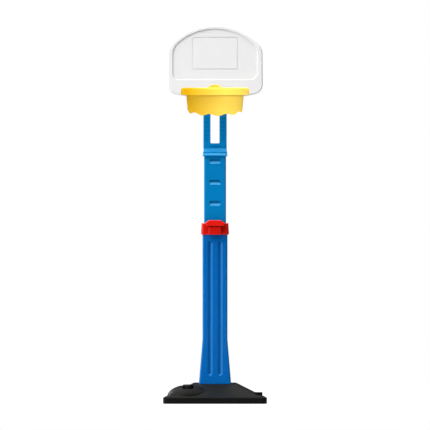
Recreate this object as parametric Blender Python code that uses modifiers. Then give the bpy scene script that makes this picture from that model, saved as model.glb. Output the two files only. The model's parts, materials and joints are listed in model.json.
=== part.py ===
"""An adjustable junior basketball stand, modelled piece by piece.

Run with: blender --background --python part.py
Units are metres and +Z is up. The origin is the middle of the base's footprint, on the floor.
The front of the stand faces -Y, and +X is on the right of someone who looks at that front.
"""

from math import atan2, cos, pi, radians, sin, sqrt

import bmesh
import bpy
from mathutils import Matrix, Vector

# Fits and margins
CLEARANCE = 0.0003
SLIDE_FIT = 0.0006
SCREW_FIT = 0.0003
CUT_MARGIN = 0.002
CORNER_STEPS = 4

# Base tank
BASE_WIDTH = 0.433
BASE_DEPTH = 0.440
BASE_HEIGHT = 0.076
BASE_FRONT_RADIUS = 0.022
BASE_REAR_RADIUS = 0.035
BASE_TAPER = 0.022
SIDE_STEPS = 5
FLANGE_HEIGHT = 0.0265
FLANGE_LEDGE = 0.007
FLANGE_CHAMFER = 0.002
SLOPE_BEND_INSET = 0.038
SLOPE_BEND_TAPER = 0.010
SLOPE_BEND_RISE = 0.0060
PLATFORM_WIDTH = 0.184
PLATFORM_DEPTH = 0.184
PLATFORM_RADIUS = 0.010
PLATFORM_CHAMFER = 0.0015
TANK_WALL = 0.0035
WELL_DEPTH = 0.040

# Lug at the foot of the tank's right slope
LUG_REACH = 0.1985
LUG_WIDTH = 0.045
LUG_FRONT = -0.070
LUG_LENGTH = 0.050
LUG_HEIGHT = 0.0141
LUG_RADIUS = 0.003

# Filler hump, pocket and cap at the front left of the tank
HUMP_X = -0.108
HUMP_Y = -0.105
HUMP_LENGTH_X = 0.092
HUMP_LENGTH_Y = 0.080
HUMP_RISE = 0.0490
HUMP_STEPS = 24
HUMP_ROWS = 6
FILLER_X = -0.113
FILLER_Y = -0.098
POCKET_RADIUS = 0.0265
POCKET_DEPTH = 0.018
POCKET_MOUTH = 0.046
FILLER_BORE = 0.0140
FILLER_NECK_WALL = 0.0035
FILLER_NECK_HEIGHT = 0.0120
CAP_RADIUS = 0.0215
CAP_ROOF = 0.0030
CAP_RIBS = 18
CAP_RIB_DEPTH = 0.0012
CAP_LIFT = 0.0012
CAP_SLOT_LENGTH = 0.024
CAP_SLOT_WIDTH = 0.0035
CAP_SLOT_DEPTH = 0.0014
SEAL_THICKNESS = 0.0020
SEAL_WIDTH = 0.0040

# Lower post
POST_WIDTH = 0.1047
POST_DEPTH = 0.0850
POST_RADIUS = 0.0080
POST_WALL = 0.0030
POST_LENGTH = 0.6654
FOOT_WIDTH = 0.1350
FOOT_DEPTH = 0.1130
FLARE_LENGTH = 0.1837
SPIGOT_WIDTH = 0.1220
SPIGOT_DEPTH = 0.1000
SPIGOT_FLOOR = 0.0040
GROOVE_SPACING = 0.0420
GROOVE_WIDTH = 0.0205
GROOVE_DEPTH = 0.0070
GROOVE_LOW_MARGIN = 0.0327
GROOVE_HIGH_MARGIN = 0.0657
GROOVE_END = 0.009
GROOVE_POINT = 0.12
GROOVE_FLOOR = 0.0024

# Screws from under the base into the foot
BASE_SCREW_X = 0.038
BASE_SCREW_Y = 0.030
BASE_SCREW_RADIUS = 0.0020
BASE_SCREW_HEAD = 0.0045
BASE_SCREW_HEAD_HEIGHT = 0.0028
BASE_SCREW_BITE = 0.014
TUNNEL_RADIUS = 0.0085
TUNNEL_ROOF = 0.0065
BOSS_WALL = 0.0035

# Collar
COLLAR_DEPTH = 0.0407
COLLAR_ROOF = 0.006
COLLAR_SIDE_TOP = 0.0038
COLLAR_SIDE_BOTTOM = 0.0064
COLLAR_CHAMFER = 0.0012
COLLAR_HEM = 0.0070
COLLAR_HEM_DRAFT = 0.0022
COLLAR_SCREW_X = 0.030
COLLAR_SCREW_RISE = 0.018
COLLAR_SCREW_RADIUS = 0.0016
COLLAR_SCREW_HEAD = 0.0032
COLLAR_SCREW_HEAD_HEIGHT = 0.0022
COLLAR_SCREW_REACH = 0.0030

# Latch on the collar's front
LATCH_PIVOT_Y = -0.0495
LATCH_PIVOT_RISE = 0.0155
LATCH_HALF_WIDTH = 0.0205
LATCH_SIDE_GAP = 0.0007
HOUSING_WALL = 0.0050
HOUSING_FRONT = -0.0632
HOUSING_FRONT_WALL = 0.0030
HOUSING_HEIGHT = 0.0330
HOUSING_FLOOR = 0.0055
HOUSING_BACK_WALL = 0.0023
HOUSING_RADIUS = 0.0030
LATCH_PIN_RADIUS = 0.0020
ARM_FRONT = -0.0555
ARM_BACK = -0.0465
ARM_DROP = 0.0055
LEVER_FOOT_FRONT = -0.0592
LEVER_FOOT_BACK = -0.0533
LEVER_FOOT_RISE = 0.0007
LEVER_FOOT_HEIGHT = 0.0033
TOOTH_HEIGHT = 0.0085
TOOTH_SLOPE = 0.0080
TOOTH_TOP_GAP = 0.0010
TOOTH_TIP_GAP = 0.0004
TAB_FRONT = -0.0680
TAB_BACK_GAP = 0.0006
TAB_RISE = 0.0360
TAB_HEIGHT = 0.0250
TAB_TOP_WIDTH = 0.0550
TAB_MIDDLE_WIDTH = 0.0840
TAB_BOTTOM_WIDTH = 0.0700
TAB_SHOULDER_RISE = 0.0115
TAB_SHOULDER_DROP = 0.0130
TAB_FACE_INSET = 0.0080
TAB_FACE_DROP = 0.0022
TAB_EDGE = 0.0090
SPRING_WIRE = 0.00035
SPRING_RADIUS = 0.0022
SPRING_CURLS = 4
SPRING_POINTS = 9
SPRING_Y = -0.0563

# Inner post
INNER_WIDTH = 0.0923
INNER_DEPTH = 0.0640
INNER_RADIUS = 0.0060
INNER_WALL = 0.0030
INNER_OVERLAP = 0.3217
STAGE_HEIGHT = 0.2815
NOTCH_COUNT = 4
NOTCH_PITCH = 0.0880
NOTCH_RISE = 0.0065
NOTCH_WIDTH = 0.0440
NOTCH_HEIGHT = 0.0200
NOTCH_DEPTH = 0.0070
NOTCH_BACK = 0.0090

# Glide shoe in the inner post's lower end
SHOE_HEIGHT = 0.0150
SHOE_PLUG_HEIGHT = 0.0220
SHOE_WALL = 0.0030

# Neck
NECK_HEAD = 0.0580
NECK_WIDTH = 0.0979
NECK_RADIUS = 0.0035
RAIL_FRONT = -0.0200
RAIL_DEPTH = 0.0380
NECK_WALL = 0.0035
NECK_TOP_RADIUS = 0.020
NECK_TOP_STEPS = 4
SLOT_WIDTH = 0.0375
SLOT_START = 0.0216
SLOT_LENGTH = 0.3414
SLOT_RADIUS = 0.0040
LIP_SIDE = 0.0057
LIP_FACE = 0.0060
LIP_BAND = 0.0045
LIP_SLOPE = 0.0085
LIP_TAPER = 0.0008
LIP_OVERLAP = 0.0100
SHOULDER_START = 0.0175
SHOULDER_LENGTH = 0.0150
PLUG_LENGTH = 0.0700
PLUG_FIT = 0.0004
PLUG_RELIEF = 0.0005
SERRATION_PITCH = 0.0173
SERRATION_WIDTH = 0.0160
SERRATION_HEIGHT = 0.0030
SERRATION_DEPTH = 0.0016
RIB_THICKNESS = 0.0030
RIB_SERRATIONS = 4
CREASE_WIDTH = 0.0450
CREASE_DROP = 0.0125
NECK_SCREW_X = 0.025
NECK_SCREW_RISE = 0.0055
NECK_SCREW_RADIUS = 0.0015
NECK_SCREW_HEAD = 0.0032
NECK_SCREW_HEAD_HEIGHT = 0.0020

# Backboard
BOARD_WIDTH = 0.400
BOARD_THICKNESS = 0.030
BOARD_HEIGHT = 0.3089
BOARD_DROP = 0.0325
BOARD_CROWN_RADIUS = 0.252
BOARD_SHOULDER_RADIUS = 0.080
BOARD_CORNER_RADIUS = 0.042
BOARD_BOTTOM_RADIUS = 0.743
BOARD_WALL = 0.0030
BOARD_EDGE = 0.0040
BOARD_EDGE_STEPS = 3
PANEL_MARGIN_TOP = 0.0155
PANEL_MARGIN_SIDE = 0.0215
PANEL_SHOULDER_RADIUS = 0.070
PANEL_CORNER_RADIUS = 0.028
PANEL_RISE = 0.0800
PANEL_BOTTOM_RADIUS = 20.0
PANEL_DEPTH = 0.0040
PANEL_DRAFT = 0.0012
TARGET_WIDTH = 0.1895
TARGET_RISE = 0.0445
TARGET_HEIGHT = 0.1325
TARGET_LINE = 0.0034
TARGET_DEPTH = 0.0016
TARGET_RADIUS = 0.0060
BOARD_RIB = 0.0022
BOARD_RIB_SETBACK = 0.008
BOARD_RIB_SPACING = 0.062
BOARD_RIB_ROWS = 4
BOARD_ROW_PITCH = 0.064
RUNNER_SPACING = 0.066
RUNNER_LENGTH = 0.2000

# Clamp that holds the board on the neck's rails
CLAMP_RISE = 0.2189
CLAMP_BOLT_RADIUS = 0.0040
CLAMP_HEAD_RADIUS = 0.0075
CLAMP_HEAD_HEIGHT = 0.0032
CLAMP_BOSS_RADIUS = 0.0125
GUIDE_HEIGHT = 0.0600
GUIDE_SETBACK = 0.0006
GUIDE_SCREW_RISE = 0.0200
GUIDE_SCREW_RADIUS = 0.0018
GUIDE_SCREW_HEAD = 0.0034
GUIDE_SCREW_HEAD_HEIGHT = 0.0024
GUIDE_COUNTERBORE = 0.0150
GUIDE_SCREW_BITE = 0.0120
PLATE_WIDTH = 0.0840
PLATE_HEIGHT = 0.0560
PLATE_THICKNESS = 0.0060
PLATE_RADIUS = 0.0060
WASHER_RADIUS = 0.0110
WASHER_THICKNESS = 0.0016
KNOB_RADIUS = 0.0240
KNOB_LOBES = 6
KNOB_LOBE_DEPTH = 0.0030
KNOB_LENGTH = 0.0210
KNOB_CAP = 0.0030
KNOB_EDGE = 0.0025
INSERT_RADIUS = 0.0075
INSERT_LENGTH = 0.0080
INSERT_SETBACK = 0.0004

# Hoop rim, skirt and bracket
RIM_RADIUS = 0.1430
RIM_OPENING = 0.1160
RIM_DROP = 0.0165
RIM_HEIGHT = 0.0310
RIM_WALL = 0.0030
RIM_DRAFT = 0.0016
RIM_EDGE = 0.0080
RIM_EDGE_STEPS = 4
RIM_INNER_EDGE = 0.0015
RIM_STEPS = 64
RIM_RIBS = 16
RIM_RIB = 0.0020
RIM_REACH = 0.0147
SNAP_COUNT = 8
SNAP_WIDTH = 0.0140
SNAP_HEIGHT = 0.0014
SNAP_DEPTH = 0.0016
SKIRT_TOP_RADIUS = 0.1200
SKIRT_BOTTOM_RADIUS = 0.1140
SKIRT_WALL = 0.0025
SKIRT_FLANGE = 0.0030
SKIRT_FIT = 0.0008
SKIRT_LENGTH = 0.0678
SKIRT_FRONT_DROP = 0.0196
SKIRT_ROWS = 2
LOBE_COUNT = 10
LOBE_HEIGHT = 0.0085
LOBE_TURN = 6.7
LOBE_STEPS = 8
BRACKET_RADIUS = 0.0390
BRACKET_ARCH_RISE = 0.0060
BRACKET_CORNER = 0.0100
BRACKET_DROP = 0.0105
BRACKET_THICKNESS = 0.0060
BRACKET_BLOCK_WIDTH = 0.0620
BRACKET_EDGE = 0.0020
GUSSET_SPACING = 0.0440
GUSSET_RISE = 0.0080
GUSSET_REACH = 0.0100
GUSSET_THICKNESS = 0.0030
HOOP_SCREW_X = 0.0245
HOOP_SCREW_RISE = 0.0110
HOOP_SCREW_RADIUS = 0.0018
HOOP_SCREW_HEAD = 0.0034
HOOP_SCREW_HEAD_HEIGHT = 0.0024
HOOP_SCREW_BITE = 0.0105

# Heights and planes that follow from the sizes above
POCKET_FLOOR = BASE_HEIGHT - POCKET_DEPTH
WELL_FLOOR = BASE_HEIGHT - WELL_DEPTH
TUNNEL_TOP = WELL_FLOOR - TUNNEL_ROOF
SPIGOT_BOTTOM = WELL_FLOOR + CLEARANCE
POST_SHOULDER = BASE_HEIGHT + CLEARANCE
POST_TOP = POST_SHOULDER + POST_LENGTH
FLARE_TOP = POST_SHOULDER + FLARE_LENGTH
GROOVE_LOW = POST_SHOULDER + GROOVE_LOW_MARGIN
GROOVE_HIGH = POST_TOP - GROOVE_HIGH_MARGIN
COLLAR_BOTTOM = POST_TOP - COLLAR_DEPTH
COLLAR_TOP = POST_TOP + CLEARANCE + COLLAR_ROOF
COLLAR_SCREW_Z = COLLAR_BOTTOM + COLLAR_SCREW_RISE
LATCH_PIVOT_Z = COLLAR_BOTTOM + LATCH_PIVOT_RISE
HOUSING_TOP = COLLAR_BOTTOM + HOUSING_HEIGHT
POCKET_HALF_WIDTH = LATCH_HALF_WIDTH + LATCH_SIDE_GAP
HOUSING_HALF_WIDTH = POCKET_HALF_WIDTH + HOUSING_WALL
TAB_BOTTOM = COLLAR_BOTTOM + TAB_RISE
INNER_BOTTOM = POST_TOP - INNER_OVERLAP
NOTCH_LOW_TOP = COLLAR_TOP + NOTCH_RISE
TOOTH_TOP = NOTCH_LOW_TOP - TOOTH_TOP_GAP
LIP_BOTTOM = COLLAR_TOP + STAGE_HEIGHT
INNER_TOP = LIP_BOTTOM + LIP_OVERLAP
SHOULDER_LOW = LIP_BOTTOM + SHOULDER_START
SHOULDER_HIGH = SHOULDER_LOW + SHOULDER_LENGTH
SLOT_BOTTOM = SHOULDER_HIGH + SLOT_START
SLOT_TOP = SLOT_BOTTOM + SLOT_LENGTH
NECK_TOP = SLOT_TOP + NECK_HEAD
CLAMP_Z = SLOT_BOTTOM + CLAMP_RISE
LIP_FRONT = -INNER_DEPTH / 2 - LIP_FACE
LIP_REAR = INNER_DEPTH / 2 + LIP_FACE
NECK_SCREW_Z = LIP_BOTTOM + NECK_SCREW_RISE
RAIL_REAR = RAIL_FRONT + RAIL_DEPTH
BOARD_REAR = RAIL_FRONT - CLEARANCE
BOARD_FRONT = BOARD_REAR - BOARD_THICKNESS
BOARD_BOTTOM = CLAMP_Z - BOARD_DROP
BOARD_CROWN = BOARD_BOTTOM + BOARD_HEIGHT
PANEL_BOTTOM = BOARD_BOTTOM + PANEL_RISE
TARGET_BOTTOM = PANEL_BOTTOM + TARGET_RISE
RUNNER_TOP = BOARD_BOTTOM + RUNNER_LENGTH
GUIDE_REAR = RAIL_REAR - GUIDE_SETBACK
PLATE_FRONT = RAIL_REAR + CLEARANCE
WASHER_FRONT = PLATE_FRONT + PLATE_THICKNESS + CLEARANCE
KNOB_FRONT = WASHER_FRONT + WASHER_THICKNESS + CLEARANCE
KNOB_REAR = KNOB_FRONT + KNOB_LENGTH
RIM_BOTTOM = CLAMP_Z - RIM_DROP
RIM_TOP = RIM_BOTTOM + RIM_HEIGHT
RIM_Y = BOARD_FRONT - RIM_REACH - RIM_RADIUS
BRACKET_REAR = BOARD_FRONT - CLEARANCE
BRACKET_BOTTOM = RIM_BOTTOM - BRACKET_DROP
HOOP_SCREW_Z = RIM_BOTTOM + HOOP_SCREW_RISE
SKIRT_LOW = RIM_BOTTOM - SKIRT_LENGTH
SKIRT_FLANGE_LOW = RIM_BOTTOM + SNAP_HEIGHT + CLEARANCE
SKIRT_TOP = SKIRT_FLANGE_LOW + SKIRT_FLANGE

# Turns that make a turned piece's own +Z face up, down, to the front or to the back
FACING = {
    "up": (0.0, 0.0, 0.0),
    "down": (pi, 0.0, 0.0),
    "front": (pi / 2, 0.0, 0.0),
    "back": (-pi / 2, 0.0, 0.0),
}


def clear_scene():
    """Take out what the scene holds, so that the stand stands alone."""
    for obj in list(bpy.data.objects):
        bpy.data.objects.remove(obj, do_unlink=True)


def collection(name, helpers=False):
    group = bpy.data.collections.new(name)
    bpy.context.scene.collection.children.link(group)
    group.hide_render = helpers
    return group


def material(name, colour, roughness, metallic=0.0):
    surface = bpy.data.materials.new(name)
    surface.use_nodes = True
    shader = surface.node_tree.nodes["Principled BSDF"]
    shader.inputs["Base Color"].default_value = (*colour, 1.0)
    shader.inputs["Roughness"].default_value = roughness
    shader.inputs["Metallic"].default_value = metallic
    surface.diffuse_color = (*colour, 1.0)
    return surface


def place(obj, surface=None):
    """Link a piece to the stand, or a cutter, which has no material, to the cutters."""
    if surface is None:
        CUTTERS.objects.link(obj)
        obj.hide_render = True
        obj.display_type = "WIRE"
    else:
        STAND.objects.link(obj)
        obj.data.materials.append(surface)
    return obj


def finish_mesh(name, shape, surface):
    """Turn a bmesh into an object, with smooth faces that keep their sharp edges."""
    bmesh.ops.recalc_face_normals(shape, faces=shape.faces)
    mesh = bpy.data.meshes.new(name)
    shape.to_mesh(mesh)
    shape.free()
    mesh.shade_smooth()
    mesh.set_sharp_from_angle(angle=radians(35))
    return place(bpy.data.objects.new(name, mesh), surface)


def loft(name, rings, surface=None):
    """A closed body through rings with the same number of points, capped at both ends."""
    shape = bmesh.new()
    rows = [[shape.verts.new(point) for point in ring] for ring in rings]
    count = len(rings[0])
    for row, following in zip(rows, rows[1:]):
        for index in range(count):
            after = (index + 1) % count
            shape.faces.new((row[index], row[after], following[after], following[index]))
    shape.faces.new(rows[0])
    shape.faces.new(rows[-1])
    return finish_mesh(name, shape, surface)


def boxes(name, spans, surface=None):
    """One object made of separate boxes, each from its lowest to its highest corner."""
    shape = bmesh.new()
    for low, high in spans:
        low, high = Vector(low), Vector(high)
        size = Matrix.Diagonal((*(high - low), 1.0))
        bmesh.ops.create_cube(shape, size=1.0, matrix=Matrix.Translation((low + high) / 2) @ size)
    return finish_mesh(name, shape, surface)


def rods(name, stretches, surface=None, segments=24):
    """One object made of separate straight rods, each from a start to an end with a radius."""
    shape = bmesh.new()
    for start, end, radius in stretches:
        start, end = Vector(start), Vector(end)
        turn = (end - start).to_track_quat("Z", "Y").to_matrix().to_4x4()
        bmesh.ops.create_cone(
            shape, cap_ends=True, segments=segments, radius1=radius, radius2=radius,
            depth=(end - start).length, matrix=Matrix.Translation((start + end) / 2) @ turn,
        )
    return finish_mesh(name, shape, surface)


def turned(name, profile, steps, centre, surface=None, closed=False, facing="up"):
    """A profile of (radius, height) points, which runs down its outer side, turned about its own axis."""
    mesh = bpy.data.meshes.new(name)
    count = len(profile)
    edges = [(index, index + 1) for index in range(count - 1)]
    if closed:
        edges.append((count - 1, 0))
    mesh.from_pydata([(radius, 0.0, height) for radius, height in profile], edges, [])
    obj = place(bpy.data.objects.new(name, mesh), surface)
    screw = obj.modifiers.new("turn", "SCREW")
    screw.axis = "Z"
    screw.angle = 2 * pi
    screw.steps = steps
    screw.render_steps = steps
    screw.use_merge_vertices = True
    screw.merge_threshold = 0.00001
    obj.location = centre
    obj.rotation_euler = FACING[facing]
    return obj


def plate(name, outlines, thickness, matrix, surface=None):
    """A flat outline, with any holes in it, as a solid plate centred on the matrix's plane."""
    curve = bpy.data.curves.new(name, "CURVE")
    curve.dimensions = "2D"
    curve.fill_mode = "BOTH"
    curve.extrude = thickness / 2
    for outline in outlines:
        spline = curve.splines.new("POLY")
        spline.points.add(len(outline) - 1)
        for point, (across, up) in zip(spline.points, outline):
            point.co = (across, up, 0.0, 1.0)
        spline.use_cyclic_u = True
    draft = bpy.data.objects.new(name + "_outline", curve)
    bpy.context.scene.collection.objects.link(draft)
    mesh = bpy.data.meshes.new_from_object(draft.evaluated_get(bpy.context.evaluated_depsgraph_get()))
    bpy.data.objects.remove(draft, do_unlink=True)
    shape = bmesh.new()
    shape.from_mesh(mesh)
    bpy.data.meshes.remove(mesh)
    bmesh.ops.remove_doubles(shape, verts=shape.verts, dist=0.00001)
    shape.transform(matrix)
    return finish_mesh(name, shape, surface)


def facing_front(y):
    """An outline's across and up become X and Z, on the plane at this Y."""
    return Matrix.Translation((0.0, y, 0.0)) @ Matrix.Rotation(pi / 2, 4, "X")


def facing_side(x):
    """An outline's across and up become Y and Z, on the plane at this X."""
    turn = Matrix(((0, 0, 1, 0), (1, 0, 0, 0), (0, 1, 0, 0), (0, 0, 0, 1)))
    return Matrix.Translation((x, 0.0, 0.0)) @ turn


def cut(body, tool):
    modifier = body.modifiers.new("cut " + tool.name, "BOOLEAN")
    modifier.operation = "DIFFERENCE"
    modifier.solver = "EXACT"
    modifier.object = tool


def join(body, tool):
    modifier = body.modifiers.new("join " + tool.name, "BOOLEAN")
    modifier.operation = "UNION"
    modifier.solver = "EXACT"
    modifier.object = tool


def rounded_rectangle(low, high, radius, far_radius=None):
    """Points round a rectangle from its low to its high corner. The far radius is at its second side."""
    radii = (radius, far_radius or radius)
    points = []
    for turn, (side_x, side_y) in enumerate(((1, 1), (-1, 1), (-1, -1), (1, -1))):
        corner = radii[side_y > 0]
        centre_x = high[0] - corner if side_x > 0 else low[0] + corner
        centre_y = high[1] - corner if side_y > 0 else low[1] + corner
        for step in range(CORNER_STEPS + 1):
            angle = (turn + step / CORNER_STEPS) * pi / 2
            points.append((centre_x + corner * cos(angle), centre_y + corner * sin(angle)))
    return points


def centred_rectangle(width, depth, radius, far_radius=None):
    return rounded_rectangle((-width / 2, -depth / 2), (width / 2, depth / 2), radius, far_radius)


def level(outline, z):
    return [(x, y, z) for x, y in outline]


def upright(outline, y):
    return [(x, y, z) for x, z in outline]


def arc(centre, radius, start, end, steps):
    """Points along an arc, without its last one."""
    angles = [start + (end - start) * step / steps for step in range(steps)]
    return [(centre[0] + radius * cos(angle), centre[1] + radius * sin(angle)) for angle in angles]


def arched_outline(half_width, crown, crown_radius, shoulder_radius, corner_radius, bottom, bottom_radius):
    """A board with an arched top, rounded lower corners and a bottom edge that bows down a little."""
    crown_centre = crown - crown_radius
    shoulder_x = half_width - shoulder_radius
    shoulder_z = crown_centre + sqrt((crown_radius - shoulder_radius) ** 2 - shoulder_x**2)
    shoulder_angle = atan2(shoulder_z - crown_centre, shoulder_x)
    bottom_centre = bottom + bottom_radius
    corner_x = half_width - corner_radius
    corner_z = bottom_centre - sqrt((bottom_radius - corner_radius) ** 2 - corner_x**2)
    corner_angle = atan2(corner_z - bottom_centre, corner_x)
    right = arc((0.0, crown_centre), crown_radius, pi / 2, shoulder_angle, 8)
    right += arc((shoulder_x, shoulder_z), shoulder_radius, shoulder_angle, 0.0, 5)
    right += arc((corner_x, corner_z), corner_radius, 0.0, corner_angle, 5)
    right += arc((0.0, bottom_centre), bottom_radius, corner_angle, -pi / 2, 3)
    right.append((0.0, bottom))
    left = [(-x, z) for x, z in reversed(right[1:-1])]
    return right + left


def fluted_outline(radius, depth, count, steps=4):
    """A circle whose edge waves in and out this many times."""
    total = count * steps
    angles = [2 * pi * index / total for index in range(total)]
    reach = [radius - depth * (1 - cos(count * angle)) / 2 for angle in angles]
    return [(r * cos(angle), r * sin(angle)) for r, angle in zip(reach, angles)]


def shifted(outline, across, up):
    return [(x + across, y + up) for x, y in outline]


def screw(name, head, facing, length, radius, head_radius, head_height):
    """A pan-headed screw. Its head's outer face is at this point and faces this way."""
    profile = [
        (0.0, 0.0), (head_radius - head_height / 4, 0.0), (head_radius, -head_height / 2),
        (head_radius, -head_height), (radius, -head_height), (radius, -length), (0.0, -length),
    ]
    return turned(name, profile, 12, head, STEEL, facing=facing)


def carried(empty_name, location, pieces):
    """Hang moving pieces from an empty on their joint's axis, and leave them where they are."""
    empty = bpy.data.objects.new(empty_name, None)
    empty.location = location
    empty.empty_display_size = 0.03
    STAND.objects.link(empty)
    for piece in pieces:
        piece.parent = empty
        piece.matrix_parent_inverse = Matrix.Translation(location).inverted()


def sides_divided(outline):
    """A rounded rectangle with more points along its left and right sides, where they can curve."""
    half_turn = 2 * (CORNER_STEPS + 1)
    points = []
    for index, (here, after) in enumerate(zip(outline, outline[1:] + outline[:1]), 1):
        points.append(here)
        if index % half_turn == 0:
            shares = [step / SIDE_STEPS for step in range(1, SIDE_STEPS)]
            points += [tuple(Vector(here).lerp(Vector(after), share)) for share in shares]
    return points


def drawn_in(outline, half_width, taper):
    """An outline whose sides draw in behind the front corners, steeply at first and then less."""
    start = BASE_FRONT_RADIUS - BASE_DEPTH / 2
    points = []
    for x, y in outline:
        behind = max(0.0, (y - start) / (BASE_DEPTH / 2 - start))
        points.append((x * (1 - taper * behind * (2 - behind) / half_width), y))
    return points


def tank_rings(sink):
    """Rings up the tank's outside, or up its hollow when they are sunk by the wall."""
    def footprint(inset, front_radius, rear_radius, taper):
        half_width = BASE_WIDTH / 2 - inset
        outline = centred_rectangle(2 * half_width, BASE_DEPTH - 2 * inset, front_radius, rear_radius)
        return drawn_in(sides_divided(outline), half_width, taper)

    def flange(inset):
        return footprint(inset, BASE_FRONT_RADIUS - inset, BASE_REAR_RADIUS - inset, BASE_TAPER)

    def stage(width, depth, radius):
        return sides_divided(centred_rectangle(width, depth, radius))

    shrink = 4 * PLATFORM_CHAMFER
    return [
        level(flange(sink + FLANGE_CHAMFER), sink),
        level(flange(sink), sink + FLANGE_CHAMFER),
        level(flange(sink), FLANGE_HEIGHT - sink - FLANGE_CHAMFER),
        level(flange(sink + FLANGE_CHAMFER), FLANGE_HEIGHT - sink),
        level(flange(FLANGE_LEDGE), FLANGE_HEIGHT - sink),
        level(
            footprint(SLOPE_BEND_INSET, PLATFORM_RADIUS, PLATFORM_RADIUS, SLOPE_BEND_TAPER),
            FLANGE_HEIGHT + SLOPE_BEND_RISE - sink,
        ),
        level(stage(PLATFORM_WIDTH, PLATFORM_DEPTH, PLATFORM_RADIUS), BASE_HEIGHT - sink - PLATFORM_CHAMFER),
        level(
            stage(PLATFORM_WIDTH - shrink, PLATFORM_DEPTH - shrink, PLATFORM_RADIUS - PLATFORM_CHAMFER),
            BASE_HEIGHT - sink,
        ),
    ]


def hump(name, inset):
    """The filler hump: a quarter of an ellipse turned about an upright axis, then drawn out along X."""
    rise = HUMP_RISE - inset
    reach = HUMP_LENGTH_Y - inset
    angles = [pi / 2 * row / HUMP_ROWS for row in range(HUMP_ROWS + 1)]
    profile = [(reach * sin(angle), rise * cos(angle)) for angle in angles]
    profile += [(reach, -2 * TANK_WALL), (0.0, -2 * TANK_WALL)]
    body = turned(name, profile, HUMP_STEPS, (HUMP_X, HUMP_Y, FLANGE_HEIGHT))
    body.scale = ((HUMP_LENGTH_X - inset) / reach, 1.0, 1.0)
    return body


def filler_pocket(name, grow):
    """The round pocket that the cap stands in, and its mouth to the front."""
    floor = POCKET_FLOOR - grow
    ceiling = BASE_HEIGHT + CUT_MARGIN + grow
    well = rods(name, [
        ((FILLER_X, FILLER_Y, floor), (FILLER_X, FILLER_Y, ceiling), POCKET_RADIUS + grow),
    ])
    half = POCKET_MOUTH / 2 + grow
    mouth = boxes(name + "_mouth", [
        ((FILLER_X - half, -BASE_DEPTH / 2, floor), (FILLER_X + half, FILLER_Y, ceiling)),
    ])
    join(well, mouth)
    return well


def side_lug(name, inset):
    """The raised lug at the foot of the right slope, and its hollow when it is inset by the wall."""
    low_x = LUG_REACH - LUG_WIDTH
    outline = rounded_rectangle(
        (low_x + inset, LUG_FRONT + inset), (LUG_REACH - inset, LUG_FRONT + LUG_LENGTH - inset), LUG_RADIUS,
    )
    low = FLANGE_HEIGHT - 2 * TANK_WALL
    return loft(name, [level(outline, low), level(outline, FLANGE_HEIGHT + LUG_HEIGHT - inset)])


def base_screw_places():
    return [(side * BASE_SCREW_X, end * BASE_SCREW_Y) for side in (-1, 1) for end in (-1, 1)]


def make_base_tank():
    tank = loft("base_tank", tank_rings(0.0), BLACK)
    join(tank, hump("tank_hump", 0.0))
    join(tank, side_lug("tank_lug", 0.0))
    cut(tank, filler_pocket("tank_pocket", 0.0))

    hollow = loft("tank_hollow", tank_rings(TANK_WALL))
    join(hollow, hump("tank_hump_hollow", TANK_WALL))
    join(hollow, side_lug("tank_lug_hollow", TANK_WALL))
    cut(hollow, filler_pocket("tank_pocket_wall", TANK_WALL))
    well_width = SPIGOT_WIDTH + 2 * SLIDE_FIT
    well_depth = SPIGOT_DEPTH + 2 * SLIDE_FIT
    well_wall = centred_rectangle(well_width + 2 * TANK_WALL, well_depth + 2 * TANK_WALL, POST_RADIUS)
    cut(hollow, loft("tank_well_wall", [
        level(well_wall, WELL_FLOOR - TANK_WALL), level(well_wall, BASE_HEIGHT + CUT_MARGIN),
    ]))
    cut(hollow, rods("tank_tunnel_walls", [
        ((x, y, 0.0), (x, y, WELL_FLOOR), TUNNEL_RADIUS + TANK_WALL) for x, y in base_screw_places()
    ], segments=16))
    cut(tank, hollow)

    well = centred_rectangle(well_width, well_depth, POST_RADIUS)
    cut(tank, loft("tank_well", [level(well, WELL_FLOOR), level(well, BASE_HEIGHT + CUT_MARGIN)]))
    cut(tank, rods("tank_tunnels", [
        ((x, y, -CUT_MARGIN), (x, y, TUNNEL_TOP), TUNNEL_RADIUS) for x, y in base_screw_places()
    ], segments=16))
    cut(tank, rods("tank_screw_holes", [
        ((x, y, TUNNEL_TOP - CUT_MARGIN), (x, y, WELL_FLOOR + CUT_MARGIN), BASE_SCREW_RADIUS + SCREW_FIT)
        for x, y in base_screw_places()
    ], segments=12))

    join(tank, rods("filler_neck", [(
        (FILLER_X, FILLER_Y, POCKET_FLOOR - TANK_WALL / 2),
        (FILLER_X, FILLER_Y, POCKET_FLOOR + FILLER_NECK_HEIGHT), FILLER_BORE + FILLER_NECK_WALL,
    )]))
    cut(tank, rods("filler_bore", [(
        (FILLER_X, FILLER_Y, POCKET_FLOOR - TANK_WALL - CUT_MARGIN),
        (FILLER_X, FILLER_Y, BASE_HEIGHT + CUT_MARGIN), FILLER_BORE,
    )]))


def make_base_screws():
    head_face = TUNNEL_TOP - CLEARANCE - BASE_SCREW_HEAD_HEIGHT
    length = SPIGOT_BOTTOM + BASE_SCREW_BITE - head_face
    for number, (x, y) in enumerate(base_screw_places(), 1):
        screw(
            f"base_screw_{number}", (x, y, head_face), "down", length,
            BASE_SCREW_RADIUS, BASE_SCREW_HEAD, BASE_SCREW_HEAD_HEIGHT,
        )


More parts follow.
